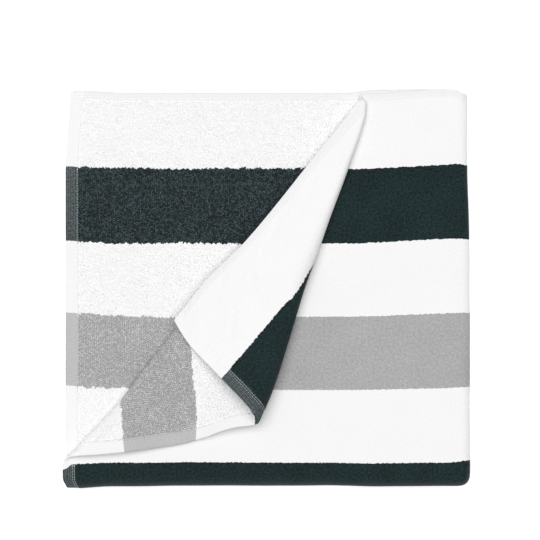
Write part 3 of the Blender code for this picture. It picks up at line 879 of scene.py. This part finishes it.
@dataclass(frozen=True)
class ClothFinish:
    """One surface of the towel: its stripes, the roughness of their edges, its yarns and its pile."""

    weave: Weave
    dyes: Dyes
    edge_jag: float  # how far the stripes' edges stray, in metres
    edge_grain: float
    yarn_grain: float
    relief: float  # how high the yarns stand, in metres
    rib_pitch: float = 0.0
    cloud_grain: float = 28.0
    cloud_share: float = 0.25
    darkest: float = 0.12  # least share of its own colour that a yarn keeps
    sheen: float = 0.0
    sheen_roughness: float = 0.45
    roughness: float = 0.95
    specular: float = 0.15
    rib_depths: tuple[float, float] = (0.40, 0.35)  # how strongly the ribs show along the towel and down it
    rib_share_down: float = 0.7  # the ribs' pitch down the towel, as a share of that along it

    def material(self) -> bpy.types.Material:
        """The surface's material, which reads its stripes from the flat sheet's own UV map.

        Returns:
            The new material.
        """
        made = bpy.data.materials.new(f"cotton_{self.weave.value}")
        made.use_nodes = True
        tree = made.node_tree
        shader = tree.nodes["Principled BSDF"]
        shader.inputs["Roughness"].default_value = self.roughness
        shader.inputs["Sheen Weight"].default_value = self.sheen
        shader.inputs["Sheen Roughness"].default_value = self.sheen_roughness
        shader.inputs["Specular IOR Level"].default_value = self.specular
        sheet = Nodes(tree)
        uv = sheet.add("ShaderNodeUVMap", uv_map=FLAT_UV).outputs["UV"]
        ramp = self.striped(sheet, uv)
        tone, height = self.yarns(sheet, uv)
        value = sheet.maths("ADD", sheet.maths("MULTIPLY", tone, ramp.outputs["Alpha"]), 1.0)
        value = sheet.maths("MAXIMUM", value, self.darkest)
        toned = sheet.add("ShaderNodeVectorMath", operation="SCALE")
        sheet.join(ramp.outputs["Color"], toned.inputs[0])
        sheet.join(value, toned.inputs["Scale"])
        sheet.join(toned.outputs["Vector"], shader.inputs["Base Color"])
        if self.relief:
            bump = sheet.add("ShaderNodeBump")
            bump.inputs["Strength"].default_value = 1.0
            bump.inputs["Distance"].default_value = self.relief
            sheet.join(height, bump.inputs["Height"])
            sheet.join(bump.outputs["Normal"], shader.inputs["Normal"])
        return made

    def striped(self, sheet: Nodes, uv: Socket) -> bpy.types.Node:
        """The stripes, with the jagged edges that the yarns give them.

        Args:
            sheet: Adds the material's nodes.
            uv: The place on the flat sheet.

        Returns:
            The ramp, with the stripe's colour and, as its alpha, the mottle of its yarns, which on the loops
            is also painted glints of light.
        """
        down = sheet.split(uv)[1]
        jag = sheet.noise(uv, self.edge_grain, detail=1.0)
        shifted = sheet.maths("ADD", down, sheet.maths("MULTIPLY", sheet.centred(jag), self.edge_jag))
        ramp = sheet.add("ShaderNodeValToRGB")
        ramp.color_ramp.interpolation = "CONSTANT"
        colours = self.dyes.stripes()
        for i, colour in enumerate(colours):
            stop = ramp.color_ramp.elements[0] if i == 0 else ramp.color_ramp.elements.new(i / len(colours))
            stop.position, stop.color = i / len(colours), colour
        ramp.color_ramp.elements.remove(ramp.color_ramp.elements[-1])
        sheet.join(sheet.maths("DIVIDE", shifted, TOWEL_WIDTH), ramp.inputs["Fac"])
        return ramp

    def yarns(self, sheet: Nodes, uv: Socket) -> tuple[Socket, Socket]:
        """How the yarns differ from each other: in blotches, one by one, and in ribs where they are woven. On
        the loops the one-by-one tone is also painted glints of light.

        Args:
            sheet: Adds the material's nodes.
            uv: The place on the flat sheet.

        Returns:
            How much lighter or darker the cloth is, and how high its yarns stand.
        """
        # Each loop gets one random tone: partly its yarn's own, partly painted glints of light, strongest on
        # the dark stripes.
        if self.weave is Weave.LOOP:
            each = sheet.add("ShaderNodeTexWhiteNoise", noise_dimensions="2D")
            sheet.join(uv, each.inputs["Vector"])
            height = each.outputs["Value"]
        else:
            height = sheet.noise(uv, self.yarn_grain, detail=2.0)
        cloud = sheet.noise(uv, self.cloud_grain, detail=2.0)
        tone = sheet.centred(height)
        tone = sheet.maths("ADD", tone, sheet.maths("MULTIPLY", sheet.centred(cloud), self.cloud_share))
        if self.rib_pitch:
            pitches = self.rib_pitch, self.rib_pitch * self.rib_share_down
            for across, pitch, depth in zip(sheet.split(uv), pitches, self.rib_depths):
                ribs = sheet.maths("SINE", sheet.maths("MULTIPLY", across, math.tau / pitch))
                tone = sheet.maths("ADD", tone, sheet.maths("MULTIPLY", ribs, depth))
                height = sheet.maths("ADD", height, sheet.maths("MULTIPLY", ribs, depth))
        return tone, height


# ----------------------------------------------------------------------------------------------------------
# The sheet


@dataclass(frozen=True)
class HemTip:
    """A place on the top layer's end hem where the stripes are drawn further up than the tables say."""

    drawn: float = 0.0070
    along_to: float = 0.020
    along_fade: float = 0.014
    down_from: float = 0.148
    from_fade: float = 0.006
    down_to: float = 0.172
    to_fade: float = 0.008

    def shift(self, along: Array, down: Array) -> Array:
        """How far up the stripes are drawn there.

        Args:
            along: Distances from the top hem.
            down: Distances from the back side hem.

        Returns:
            The distances, 0 away from the place.
        """
        share = ease((self.along_to - along) / self.along_fade)
        share = share * ease((down - self.down_from) / self.from_fade)
        share = share * ease((self.down_to - down) / self.to_fade)
        return self.drawn * share


@dataclass
class TowelCloth:
    """The towel's one sheet: its pile, its hems and its soft creases, folded."""

    folds: FoldMap
    pile_half: float = 0.00165  # half of the cloth's thickness in the pile
    hem_half: float = 0.00112  # the same in the hems
    rim_half: float = 0.00045  # the same at the very edge
    rim_width: float = 0.0012  # how far in the edge is rounded
    pile_step: float = 0.0012  # how wide the step from a hem up to the pile is
    wave_height: float = 0.00022
    fine_pitch: float = 0.0046  # between grid lines where the cloth shows
    coarse_pitch: float = 0.0160  # between grid lines where it doesn't
    bend_steps: tuple[int, int, int] = (10, 6, 6)
    roll_steps: int = 18
    fan_degrees: tuple[int, ...] = (
        *range(3, 19, 3),
        *range(20, 29),
        *range(30, 43, 3),
        *range(44, 55),
        *(56, 59),
    )
    fan_snap: float = 2e-4  # how near to a point a line of the fan goes through it
    apex_rings: tuple[float, ...] = (0.090, 0.045, 0.020)  # reaches within which the grid is halved
    turned_slope: float = 0.85  # how far along the turned-back part's line runs for each metre down
    hem_tip: HemTip = HemTip()
    materials: dict[Weave, bpy.types.Material] = field(default_factory=dict)

    def hem_lines(self, hem: float, width: float) -> list[float]:
        """The lines that the two rims and the two hems need across one side of the sheet.

        Args:
            hem: The hems' width.
            width: The sheet's size from hem to hem.

        Returns:
            The lines' distances from the first edge.
        """
        step = self.pile_step / 2
        near = [0.0, self.rim_width / 3, self.rim_width, hem - step, hem + step]
        return near + [width - line for line in near]

    def lines_along(self) -> list[float]:
        """Where the flat grid has lines across the towel's length.

        Returns:
            Their distances from the top hem.
        """
        hems = self.hem_lines(END_HEM, TOWEL_LENGTH)
        lines = list(hems)
        arcs = (self.folds.outer_arc, self.folds.inner_arc, self.folds.inner_arc, 0.0)
        pitches = self.fine_pitch, self.coarse_pitch, self.coarse_pitch, self.coarse_pitch / 2
        start = 0.0
        for run, arc, pitch, bend_steps in zip(self.folds.runs, arcs, pitches, (*self.bend_steps, 1)):
            lines += spread(start, start + run, pitch)
            lines += list(np.linspace(start + run, start + run + arc, bend_steps + 1))
            start += run + arc
        return apart(lines, keep=hems)

    def lines_down(self) -> list[float]:
        """Where the flat grid has lines across the towel's width.

        Returns:
            Their distances from the back side hem.
        """
        hems = self.hem_lines(SIDE_HEM, TOWEL_WIDTH)
        starts, ends = self.folds.roll_starts, self.folds.roll_ends
        lines = hems + spread(0.0, starts, self.fine_pitch)
        lines += list(np.linspace(starts, ends, self.roll_steps + 1))
        lines += spread(ends, TOWEL_WIDTH, self.coarse_pitch)
        return apart(lines, keep=hems)

    def flat(self) -> bmesh.types.BMesh:
        """The flat sheet, one face deep, with lines wherever it will bend.

        Returns:
            The sheet, in triangles.
        """
        along, down = self.lines_along(), self.lines_down()
        sheet = bmesh.new()
        bmesh.ops.create_grid(sheet, x_segments=len(along) - 1, y_segments=len(down) - 1, size=1.0)
        for vert in sheet.verts:
            i = round((vert.co.x + 1) / 2 * (len(along) - 1))
            j = round((1 - vert.co.y) / 2 * (len(down) - 1))
            vert.co = (along[i], -down[j], 0.0)
        apex = Vector((self.folds.apex_along, 0.0, 0.0))
        for ring in self.apex_rings:
            near = {vert for vert in sheet.verts if (vert.co - apex).length < ring}
            inner = [edge for edge in sheet.edges if near.issuperset(edge.verts)]
            bmesh.ops.subdivide_edges(sheet, edges=inner, cuts=1, use_grid_fill=True)
        for degrees in self.fan_degrees:
            angle = math.radians(degrees)
            across = Vector((-math.sin(angle), math.cos(angle), 0.0))
            corner = [face for face in sheet.faces if self.in_corner(face.calc_center_median())]
            edges = {edge for face in corner for edge in face.edges}
            verts = {vert for face in corner for vert in face.verts}
            cut = [*corner, *edges, *verts]
            bmesh.ops.bisect_plane(sheet, geom=cut, dist=self.fan_snap, plane_co=apex, plane_no=across)
        bmesh.ops.triangulate(sheet, faces=sheet.faces[:])
        return sheet

    def in_corner(self, place: Vector) -> bool:
        """Whether a place on the flat sheet is in the part that is turned back."""
        return place.x < self.folds.apex_along and -place.y < self.folds.roll_starts

    def half_thickness(self, along: Array, down: Array) -> Array:
        """How thick the cloth is on each side of its middle: full in the pile, less in the hems and rims.

        Args:
            along: Distances from the top hem.
            down: Distances from the back side hem.

        Returns:
            The half thicknesses.
        """
        to_end = np.minimum(along, TOWEL_LENGTH - along)
        to_side = np.minimum(down, TOWEL_WIDTH - down)
        in_pile = ease((to_end - END_HEM) / self.pile_step + 0.5)
        in_pile = in_pile * ease((to_side - SIDE_HEM) / self.pile_step + 0.5)
        half = mix(self.hem_half, self.pile_half, in_pile)
        rim = clamp(np.minimum(to_end, to_side) / self.rim_width)
        half = mix(self.rim_half, half, np.sqrt(1 - (1 - rim) ** 2))
        return half * self.folds.crushed(along, down)

    def soft_waves(self, along: Array, down: Array) -> Array:
        """How far the cloth stands off its folded place, in its soft troughs and ridges.

        Args:
            along: Distances from the top hem.
            down: Distances from the back side hem.

        Returns:
            The distances, towards the velour face.
        """
        wave = np.zeros_like(along)
        for row in RIPPLES:
            first = np.sin(row.first_along * along + row.first_down * down + row.first_phase)
            second = np.sin(row.second_along * along + row.second_down * down + row.second_phase)
            wave = wave + row.share * first * second
        height = self.wave_height * wave
        for row in CREASES:
            turn = math.radians(row.turn)
            beside, below = along - row.along, down - row.down
            length = (beside * math.cos(turn) + below * math.sin(turn)) / row.half_length
            width = (below * math.cos(turn) - beside * math.sin(turn)) / row.half_width
            height = height + row.height * np.exp(-(length**2) - width**2)
        return height

    def places(self, along: Array, down: Array, side: Array | float) -> tuple[Array, Array, Array, Array]:
        """The folded places of points on the towel's faces.

        Args:
            along: Distances from the top hem.
            down: Distances from the back side hem.
            side: 1 for the velour face and -1 for the terry face.

        Returns:
            The places, the directions along and down the cloth, and the way the face points.
        """
        middle, run, fall, facing = self.folds.frames(along, down)
        offset = self.soft_waves(along, down) + side * self.half_thickness(along, down)
        places = middle + facing * offset[:, None]
        outward = facing * (side if np.isscalar(side) else side[:, None])
        return places, run, fall, outward

    def build(self) -> bpy.types.Object:
        """Folds the sheet.

        Returns:
            The new object.
        """
        sheet = self.flat()
        raised = bmesh.ops.extrude_face_region(sheet, geom=sheet.faces[:])["geom"]
        upper = [item for item in raised if isinstance(item, bmesh.types.BMVert)]
        bmesh.ops.translate(sheet, verts=upper, vec=(0, 0, 1.0))
        bmesh.ops.translate(sheet, verts=sheet.verts[:], vec=(0, 0, -0.5))
        bmesh.ops.recalc_face_normals(sheet, faces=sheet.faces[:])
        flat_uv = sheet.loops.layers.uv.new(FLAT_UV)
        weaves = list(self.materials)
        for face in sheet.faces:
            face.smooth = True
            face.material_index = weaves.index(self.weave(face))
            for loop in face.loops:
                loop[flat_uv].uv = (loop.vert.co.x, -loop.vert.co.y)
        mesh = bpy.data.meshes.new("towel_cloth")
        sheet.to_mesh(mesh)
        sheet.free()
        flat = np.empty(len(mesh.vertices) * 3)
        mesh.vertices.foreach_get("co", flat)
        flat = flat.reshape(-1, 3)
        placed = self.places(flat[:, 0], -flat[:, 1], np.sign(flat[:, 2]))[0]
        mesh.vertices.foreach_set("co", placed.astype(np.float32).ravel())
        self.warp_pattern(mesh)
        mesh.update()
        obj = bpy.data.objects.new("towel_cloth", mesh)
        for material in self.materials.values():
            mesh.materials.append(material)
        bpy.context.scene.collection.objects.link(obj)
        return obj

    def weave(self, face: bmesh.types.BMFace) -> Weave:
        """Which of the four surfaces a face of the flat slab belongs to.

        Args:
            face: The face.

        Returns:
            Its surface.
        """
        centre = face.calc_center_median()
        to_end = min(centre.x, TOWEL_LENGTH - centre.x)
        to_side = min(-centre.y, TOWEL_WIDTH + centre.y)
        if to_end < END_HEM:
            return Weave.END_HEM
        if to_side < SIDE_HEM:
            return Weave.SIDE_HEM
        return Weave.VELOUR if centre.z > 0 else Weave.TERRY

    def warp_pattern(self, mesh: bpy.types.Mesh) -> None:
        """Draws the stripes' own small unevenness into the flat sheet's UV map.

        Args:
            mesh: The sheet's mesh.
        """
        layer = mesh.uv_layers[FLAT_UV]
        flat = np.empty(len(layer.uv) * 2)
        layer.uv.foreach_get("vector", flat)
        flat = flat.reshape(-1, 2)
        flat[:, 1] += self.pattern_shift(flat[:, 0], flat[:, 1])
        layer.uv.foreach_set("vector", flat.astype(np.float32).ravel())

    def pattern_shift(self, along: Array, down: Array) -> Array:
        """How far up the stripes' edges are drawn from where the flat sheet's even stripes have them.

        Args:
            along: Distances from the top hem.
            down: Distances from the back side hem.

        Returns:
            The distances, 0 on the layers that never show.
        """
        turned = ease((self.folds.apex_along - along - self.turned_slope * down) / self.coarse_pitch)
        top = drawn(TOP_DRAWN, TOP_DRAWN_AT, along, down) + self.hem_tip.shift(along, down)
        top = top + turned * drawn(TURNED_DRAWN, TURNED_DRAWN_AT, along, down)
        second = drawn(SECOND_DRAWN, SECOND_DRAWN_AT, TOWEL_LENGTH - along, down)
        on_top = ease((self.folds.runs[0] + self.folds.outer_arc - along) / self.coarse_pitch)
        on_second = ease((along - TOWEL_LENGTH + self.folds.runs[3]) / self.coarse_pitch)
        return np.where(down < self.folds.roll_ends, top * on_top + second * on_second, 0.0)


def drawn(rows: Sequence[EdgeDraw], spots: Sequence[float], inward: Array, down: Array) -> Array:
    """How far up the stripes of one run are drawn.

    Args:
        rows: The table, from the back side hem down.
        spots: The distances from the hem that the table's columns stand for.
        inward: Distances from the run's hem.
        down: Distances from the back side hem.

    Returns:
        The distances that they are drawn.
    """
    columns = smooth_rows(rows, down)[1:]
    shift = columns[0]
    for i in range(1, len(spots)):
        shift = mix(shift, columns[i], ease((inward - spots[i - 1]) / (spots[i] - spots[i - 1])))
    return shift


def spread(start: float, end: float, pitch: float) -> list[float]:
    """Even lines from start to end, at about this pitch."""
    return list(np.linspace(start, end, max(1, round((end - start) / pitch)) + 1))


def apart(lines: list[float], keep: list[float], least: float = 0.0011) -> list[float]:
    """The lines in order, without those that come too near to a kept one or to each other.

    Args:
        lines: The lines' places.
        keep: The places of those that stay.
        least: How near is too near.

    Returns:
        The places of the lines that are left.
    """
    chosen = sorted(set(keep))
    for line in sorted(set(lines)):
        if all(abs(line - other) > least for other in chosen):
            chosen.append(line)
    return sorted(chosen)


# ----------------------------------------------------------------------------------------------------------
# Loops and threads, many small copies of one shape


def copies(name: str, shape: bmesh.types.BMesh, places: Array, axes: Array, flat: Array) -> bpy.types.Object:
    """One mesh that joins many copies of a small shape.

    Args:
        name: The new object's name.
        shape: The shape, about its own origin. It is freed.
        places: Where each copy stands.
        axes: Three vectors for each copy, which its own X, Y and Z become.
        flat: Each copy's place on the flat sheet, kept as its UV.

    Returns:
        The joined object.
    """
    bmesh.ops.triangulate(shape, faces=shape.faces[:])
    shape.verts.index_update()
    points = np.array([vert.co for vert in shape.verts])
    corners = np.array([[vert.index for vert in face.verts] for face in shape.faces])
    shape.free()
    count, size = len(places), len(points)
    spots = places[:, None, :] + np.einsum("pk,nkx->npx", points, axes)
    faces = corners[None, :, :] + (np.arange(count) * size)[:, None, None]
    mesh = bpy.data.meshes.new(name)
    mesh.vertices.add(count * size)
    mesh.vertices.foreach_set("co", spots.astype(np.float32).ravel())
    mesh.loops.add(faces.size)
    mesh.loops.foreach_set("vertex_index", faces.astype(np.int32).ravel())
    mesh.polygons.add(faces.size // 3)
    mesh.polygons.foreach_set("loop_start", np.arange(0, faces.size, 3, dtype=np.int32))
    mesh.update(calc_edges=True)
    layer = mesh.uv_layers.new(name=FLAT_UV)
    layer.uv.foreach_set("vector", np.repeat(flat, corners.size, axis=0).astype(np.float32).ravel())
    obj = bpy.data.objects.new(name, mesh)
    bpy.context.scene.collection.objects.link(obj)
    return obj


@dataclass
class TerryLoops:
    """The loops that stand on the terry face, wherever it is open to view."""

    cloth: TowelCloth
    pitch_along: float = 0.0021
    pitch_down: float = 0.0023
    loop_radius: float = 0.00088
    yarn_radius: float = 0.00078
    loop_rise: float = 0.22
    arc_steps: int = 4
    yarn_sides: int = 3
    jitter: float = 0.16  # how far loops stray from their rows, in pitches
    head_room: float = 0.0024  # free height that a loop needs over the cloth
    look_out: float = 0.120  # distance over which nothing may hide a loop
    look_lean: float = 0.8  # how far aslant the looks go, for each metre up
    lean: float = 0.08  # spread of the loops' lean, in metres for each metre up
    sizes: tuple[float, float] = (0.85, 1.25)
    seed: int = 11
    material: bpy.types.Material | None = None

    def shape(self) -> bmesh.types.BMesh:
        """One loop of yarn: an arch whose feet are sunk in the cloth.

        Returns:
            The loop, about the middle between its feet.
        """
        loop = bmesh.new()
        ridge_up = Matrix.Rotation(-math.pi / 2, 4, "Z")
        bmesh.ops.create_circle(loop, segments=self.yarn_sides, radius=self.yarn_radius, matrix=ridge_up)
        bmesh.ops.translate(loop, verts=loop.verts[:], vec=(self.loop_radius, 0, 0))
        ring = loop.verts[:] + loop.edges[:]
        bmesh.ops.spin(loop, geom=ring, axis=(0, -1, 0), angle=math.pi, steps=self.arc_steps)
        feet = [edge for edge in loop.edges if edge.is_boundary]
        bmesh.ops.holes_fill(loop, edges=feet, sides=self.yarn_sides)
        bmesh.ops.recalc_face_normals(loop, faces=loop.faces[:])
        bmesh.ops.scale(loop, verts=loop.verts[:], vec=(1, 1, self.loop_rise))
        return loop

    def grid(self, patch: Patch, rng: np.random.Generator) -> Array:
        """Jittered places for loops.

        Args:
            patch: The part of the flat sheet that they cover.
            rng: The source of the jitter.

        Returns:
            The places on the flat sheet.
        """
        rows = np.arange(*patch.along, self.pitch_along)
        columns = np.arange(*patch.down, self.pitch_down)
        flat = np.stack(np.meshgrid(rows, columns, indexing="ij"), axis=-1)
        flat[1::2, :, 1] += self.pitch_down / 2
        flat = flat.reshape(-1, 2)
        pitches = np.array([self.pitch_along, self.pitch_down])
        return flat + rng.uniform(-self.jitter, self.jitter, flat.shape) * pitches

    def open_to_view(self, tree: BVHTree, places: Array, facing: Array) -> Array:
        """Which places have room for a loop and can be seen, from above or aslant.

        Args:
            tree: The finished cloth.
            places: The places on its terry face.
            facing: The ways that the face points there.

        Returns:
            True for each place that is open to view.
        """
        lean = self.look_lean
        aslant = (0, 0, 1), (lean, 0, 1), (-lean, 0, 1), (0, lean, 1), (0, -lean, 1)
        looks = [Vector(way).normalized() for way in aslant]
        seen = np.zeros(len(places), bool)
        for i, (place, up) in enumerate(zip(places, facing)):
            start, up = Vector(place), Vector(up)
            start += up * (self.head_room / 4)
            if up.z < 0 or tree.ray_cast(start, up, self.head_room)[0] is not None:
                continue
            seen[i] = any(tree.ray_cast(start, look, self.look_out)[0] is None for look in looks)
        return seen

    def build(self, name: str, sheet: bpy.types.Object, patch: Patch) -> bpy.types.Object:
        """The loops over one part of the flat sheet.

        Args:
            name: The new piece's name.
            sheet: The finished cloth, which hides some of the loops.
            patch: The part that they cover.

        Returns:
            The new object.
        """
        rng = np.random.default_rng(self.seed)
        tree = BVHTree.FromObject(sheet, bpy.context.evaluated_depsgraph_get())
        flat = self.grid(patch, rng)
        places, run, fall, up = self.cloth.places(flat[:, 0], flat[:, 1], -1.0)
        seen = self.open_to_view(tree, places, up)
        flat, places, run, fall, up = (values[seen] for values in (flat, places, run, fall, up))
        turn = rng.uniform(0, math.tau, (len(flat), 1))
        lean_1, lean_2 = rng.normal(0, self.lean, (2, len(flat), 1))
        size = rng.uniform(*self.sizes, (len(flat), 1))
        tip = unit(up + lean_1 * run + lean_2 * fall)
        side = unit(np.cross(tip, np.cos(turn) * run + np.sin(turn) * fall))
        axes = np.stack([size * np.cross(side, tip), size * side, size * tip], axis=1)
        flat[:, 1] += self.cloth.pattern_shift(flat[:, 0], flat[:, 1])
        obj = copies(name, self.shape(), places, axes, flat)
        obj.data.materials.append(self.material)
        return obj


class Face(Enum):
    """The towel's two faces."""

    VELOUR = 1
    TERRY = -1


class SeamRow(NamedTuple):
    """One line of sewing, this far in from an edge of the sheet."""

    inset: float
    pitch: float


@dataclass
class HemSeams:
    """The sewing threads that hold the hems, in short stitches on both faces."""

    cloth: TowelCloth
    end_seams: tuple[SeamRow, ...] = (SeamRow(0.0132, 0.0030), SeamRow(0.0108, 0.0030))
    side_seams: tuple[SeamRow, ...] = (SeamRow(0.0054, 0.0026),)
    stitch_share: float = 0.88  # a stitch's length, in pitches
    thread_width: float = 0.00080
    thread_height: float = 0.00046
    corner_gap: float = 0.0015  # how far from the sheet's corners a seam ends
    material: bpy.types.Material | None = None

    def shape(self) -> bmesh.types.BMesh:
        """One stitch, a metre long and a metre thick: a thread that dips into the cloth at both ends.

        Returns:
            The stitch, about its own middle.
        """
        stitch = bmesh.new()
        bmesh.ops.create_icosphere(stitch, subdivisions=1, radius=0.5)
        return stitch

    def line(self, start: tuple[float, float], end: tuple[float, float], pitch: float) -> Array:
        """The middles of one seam's stitches on the flat sheet.

        Args:
            start: The place where the seam begins.
            end: The place where it ends.
            pitch: The distance from one stitch to the next.

        Returns:
            The places.
        """
        span = math.dist(start, end)
        shares = (np.arange(int(span / pitch)) + 0.5) * pitch / span
        return np.array(start) + shares[:, None] * (np.array(end) - np.array(start))

    def build(self, name: str, face: Face) -> bpy.types.Object:
        """All stitches that show on one face: both rows of the end hems on the velour face, one on the other.

        Args:
            name: The new piece's name.
            face: The face that they lie on.

        Returns:
            The new object.
        """
        end_seams = self.end_seams if face is Face.VELOUR else self.end_seams[:1]
        seams = [(seam, True) for seam in end_seams] + [(seam, False) for seam in self.side_seams]
        rows, turned, lengths = [], [], []
        for seam, at_end in seams:
            far, length = (TOWEL_LENGTH, TOWEL_WIDTH) if at_end else (TOWEL_WIDTH, TOWEL_LENGTH)
            for inset in (seam.inset, far - seam.inset):
                ends = (inset, self.corner_gap), (inset, length - self.corner_gap)
                start, end = ends if at_end else (place[::-1] for place in ends)
                row = self.line(start, end, seam.pitch)
                rows.append(row)
                turned.append(np.full(len(row), at_end))
                lengths.append(np.full(len(row), seam.pitch * self.stitch_share))
        flat, turned, lengths = (np.concatenate(values) for values in (rows, turned, lengths))
        places, run, fall, up = self.cloth.places(flat[:, 0], flat[:, 1], float(face.value))
        lie = np.where(turned[:, None], fall, run)
        beside = unit(np.cross(up, lie))
        keep = self.cloth.folds.crushed(flat[:, 0], flat[:, 1])[:, None]
        long = lie * lengths[:, None]
        wide, high = beside * self.thread_width * keep, up * self.thread_height * keep
        axes = np.stack([long, wide, high], axis=1)
        obj = copies(name, self.shape(), places, axes, flat)
        obj.data.materials.append(self.material)
        return obj


# ----------------------------------------------------------------------------------------------------------
# Floor, light and camera


@dataclass(frozen=True)
class Studio:
    """A pale floor, soft light from all round, and a camera straight above."""

    white: tuple[float, float, float, float] = (1.0, 1.0, 1.0, 1.0)
    floor_size: float = 6.0
    floor_tone: float = 0.93
    floor_roughness: float = 0.9
    floor_specular: float = 0.1
    floor_glow: float = 0.45
    camera_height: float = 6.0
    camera_reach: float = 100.0
    sensor_width: float = 36.0
    frame_width: float = 0.6048
    aim: tuple[float, float] = (0.0045, 0.0212)
    top_height: float = 0.036
    surround: float = 0.26
    lamp_place: tuple[float, float, float] = (-0.5, 0.9, 7.0)
    lamp_size: float = 10.0
    lamp_watts: float = 681.0

    def floor(self) -> None:
        """The pale floor."""
        sheet = bmesh.new()
        bmesh.ops.create_grid(sheet, x_segments=1, y_segments=1, size=self.floor_size / 2)
        mesh = bpy.data.meshes.new("floor")
        sheet.to_mesh(mesh)
        sheet.free()
        obj = bpy.data.objects.new("floor", mesh)
        material = bpy.data.materials.new("pale_floor")
        material.use_nodes = True
        shader = material.node_tree.nodes["Principled BSDF"]
        shader.inputs["Base Color"].default_value = (*[self.floor_tone] * 3, 1.0)
        shader.inputs["Roughness"].default_value = self.floor_roughness
        shader.inputs["Specular IOR Level"].default_value = self.floor_specular
        shader.inputs["Emission Color"].default_value = self.white
        shader.inputs["Emission Strength"].default_value = self.floor_glow
        mesh.materials.append(material)
        bpy.context.scene.collection.objects.link(obj)
        obj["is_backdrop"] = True

    def light(self) -> None:
        """An even surround, and one large soft lamp high above."""
        world = bpy.data.worlds.new("surround")
        world.use_nodes = True
        background = world.node_tree.nodes["Background"]
        background.inputs["Color"].default_value = self.white
        background.inputs["Strength"].default_value = self.surround
        bpy.context.scene.world = world
        lamp = bpy.data.lights.new("overhead_lamp", "AREA")
        lamp.shape, lamp.size, lamp.energy = "DISK", self.lamp_size, self.lamp_watts
        obj = bpy.data.objects.new("overhead_lamp", lamp)
        obj.location = self.lamp_place
        obj.rotation_euler = (-Vector(self.lamp_place)).to_track_quat("-Z", "Y").to_euler()
        bpy.context.scene.collection.objects.link(obj)

    def camera(self) -> None:
        """The camera, which looks straight down."""
        data = bpy.data.cameras.new("overhead")
        data.sensor_width = self.sensor_width
        data.lens = data.sensor_width * (self.camera_height - self.top_height) / self.frame_width
        data.clip_end = self.camera_reach
        obj = bpy.data.objects.new("overhead", data)
        obj.location = (*self.aim, self.camera_height)
        bpy.context.scene.collection.objects.link(obj)
        bpy.context.scene.camera = obj
        bpy.context.scene.view_settings.view_transform = "Standard"

    def build(self) -> None:
        """Floor, light and camera."""
        self.floor()
        self.light()
        self.camera()


FINISHES = (
    ClothFinish(
        Weave.VELOUR,
        Dyes(
            white=mottled(231, 231, 231, 0.05),
            dark=mottled(27, 41, 42, 1.20),
            grey=mottled(162, 162, 162, 0.36),
        ),
        edge_jag=0.0014,
        edge_grain=420.0,
        yarn_grain=400.0,
        relief=0.0003,
        sheen=0.10,
    ),
    ClothFinish(
        Weave.TERRY,
        Dyes(
            white=mottled(243, 243, 243, 0.02),
            dark=mottled(22, 30, 32, 0.50),
            grey=mottled(150, 150, 150, 0.20),
        ),
        edge_jag=0.0040,
        edge_grain=210.0,
        yarn_grain=420.0,
        relief=0.0003,
    ),
    ClothFinish(
        Weave.END_HEM,
        Dyes(
            white=mottled(234, 234, 234, 0.03),
            dark=mottled(75, 82, 83, 1.60),
            grey=mottled(181, 181, 181, 0.20),
        ),
        edge_jag=0.0006,
        edge_grain=400.0,
        yarn_grain=500.0,
        relief=0.0002,
        rib_pitch=0.0021,
    ),
    ClothFinish(
        Weave.SIDE_HEM,
        Dyes(
            white=mottled(230, 230, 230, 0.02),
            dark=mottled(40, 50, 52, 0.25),
            grey=mottled(172, 172, 172, 0.08),
        ),
        edge_jag=0.0006,
        edge_grain=400.0,
        yarn_grain=500.0,
        relief=0.0002,
        rib_pitch=0.0018,
    ),
)

LOOP_FINISH = ClothFinish(
    Weave.LOOP,
    Dyes(
        white=mottled(246, 246, 246, 0.01),
        # Partly painted glints of light: the dark and grey loops' wide mottle makes some loops much lighter
        # than their dye.
        dark=mottled(53, 67, 69, 1.15),
        grey=mottled(195, 195, 195, 0.28),
    ),
    edge_jag=0.0024,
    edge_grain=210.0,
    yarn_grain=700.0,
    relief=0.0,
    sheen=0.10,
)

THREAD_FINISH = ClothFinish(
    Weave.THREAD,
    Dyes(
        white=mottled(250, 250, 250, 0.02),
        dark=mottled(168, 174, 175, 0.10),
        grey=mottled(212, 212, 212, 0.05),
    ),
    edge_jag=0.0006,
    edge_grain=400.0,
    yarn_grain=900.0,
    relief=0.0,
    roughness=0.7,
)


# The distances along and down from which the terry face can be open to view, and the second layer's bands.
SECOND_OPEN_FROM = 1.42
TURNED_OPEN_FROM = 0.02
BACK_ENDS = 0.10
MIDDLE_ENDS = 0.22


def main() -> list[list[float]]:
    """Builds the towel around the frame.

    Returns:
        The lowest and highest corners of the solid's box.
    """
    logging.basicConfig(level=logging.INFO, format="%(message)s")
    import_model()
    solid_box = [list(corner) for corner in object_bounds()]
    folds = FoldMap()
    cloth = TowelCloth(folds, materials={finish.weave: finish.material() for finish in FINISHES})
    sheet = cloth.build()
    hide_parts(CAD_NODE)
    loops = TerryLoops(cloth, material=LOOP_FINISH.material())
    second_layer, turned = (SECOND_OPEN_FROM, TOWEL_LENGTH - END_HEM), (END_HEM, folds.apex_along)
    patches = {
        "loops_second_layer_back": Patch(second_layer, (SIDE_HEM, BACK_ENDS)),
        "loops_second_layer_middle": Patch(second_layer, (BACK_ENDS, MIDDLE_ENDS)),
        "loops_second_layer_front": Patch(second_layer, (MIDDLE_ENDS, folds.roll_starts)),
        "loops_turned_corner": Patch(turned, (TURNED_OPEN_FROM, folds.roll_starts)),
    }
    pieces = [loops.build(name, sheet, patch) for name, patch in patches.items()]
    seams = HemSeams(cloth, material=THREAD_FINISH.material())
    for name, face in (("stitches_velour_face", Face.VELOUR), ("stitches_terry_face", Face.TERRY)):
        pieces.append(seams.build(name, face))
    for piece in (sheet, *pieces):
        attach(piece, "root")
        log.info("%s: %d faces", piece.name, len(piece.data.polygons))
    Studio().build()
    return solid_box


if __name__ == "__main__":
    box = main()
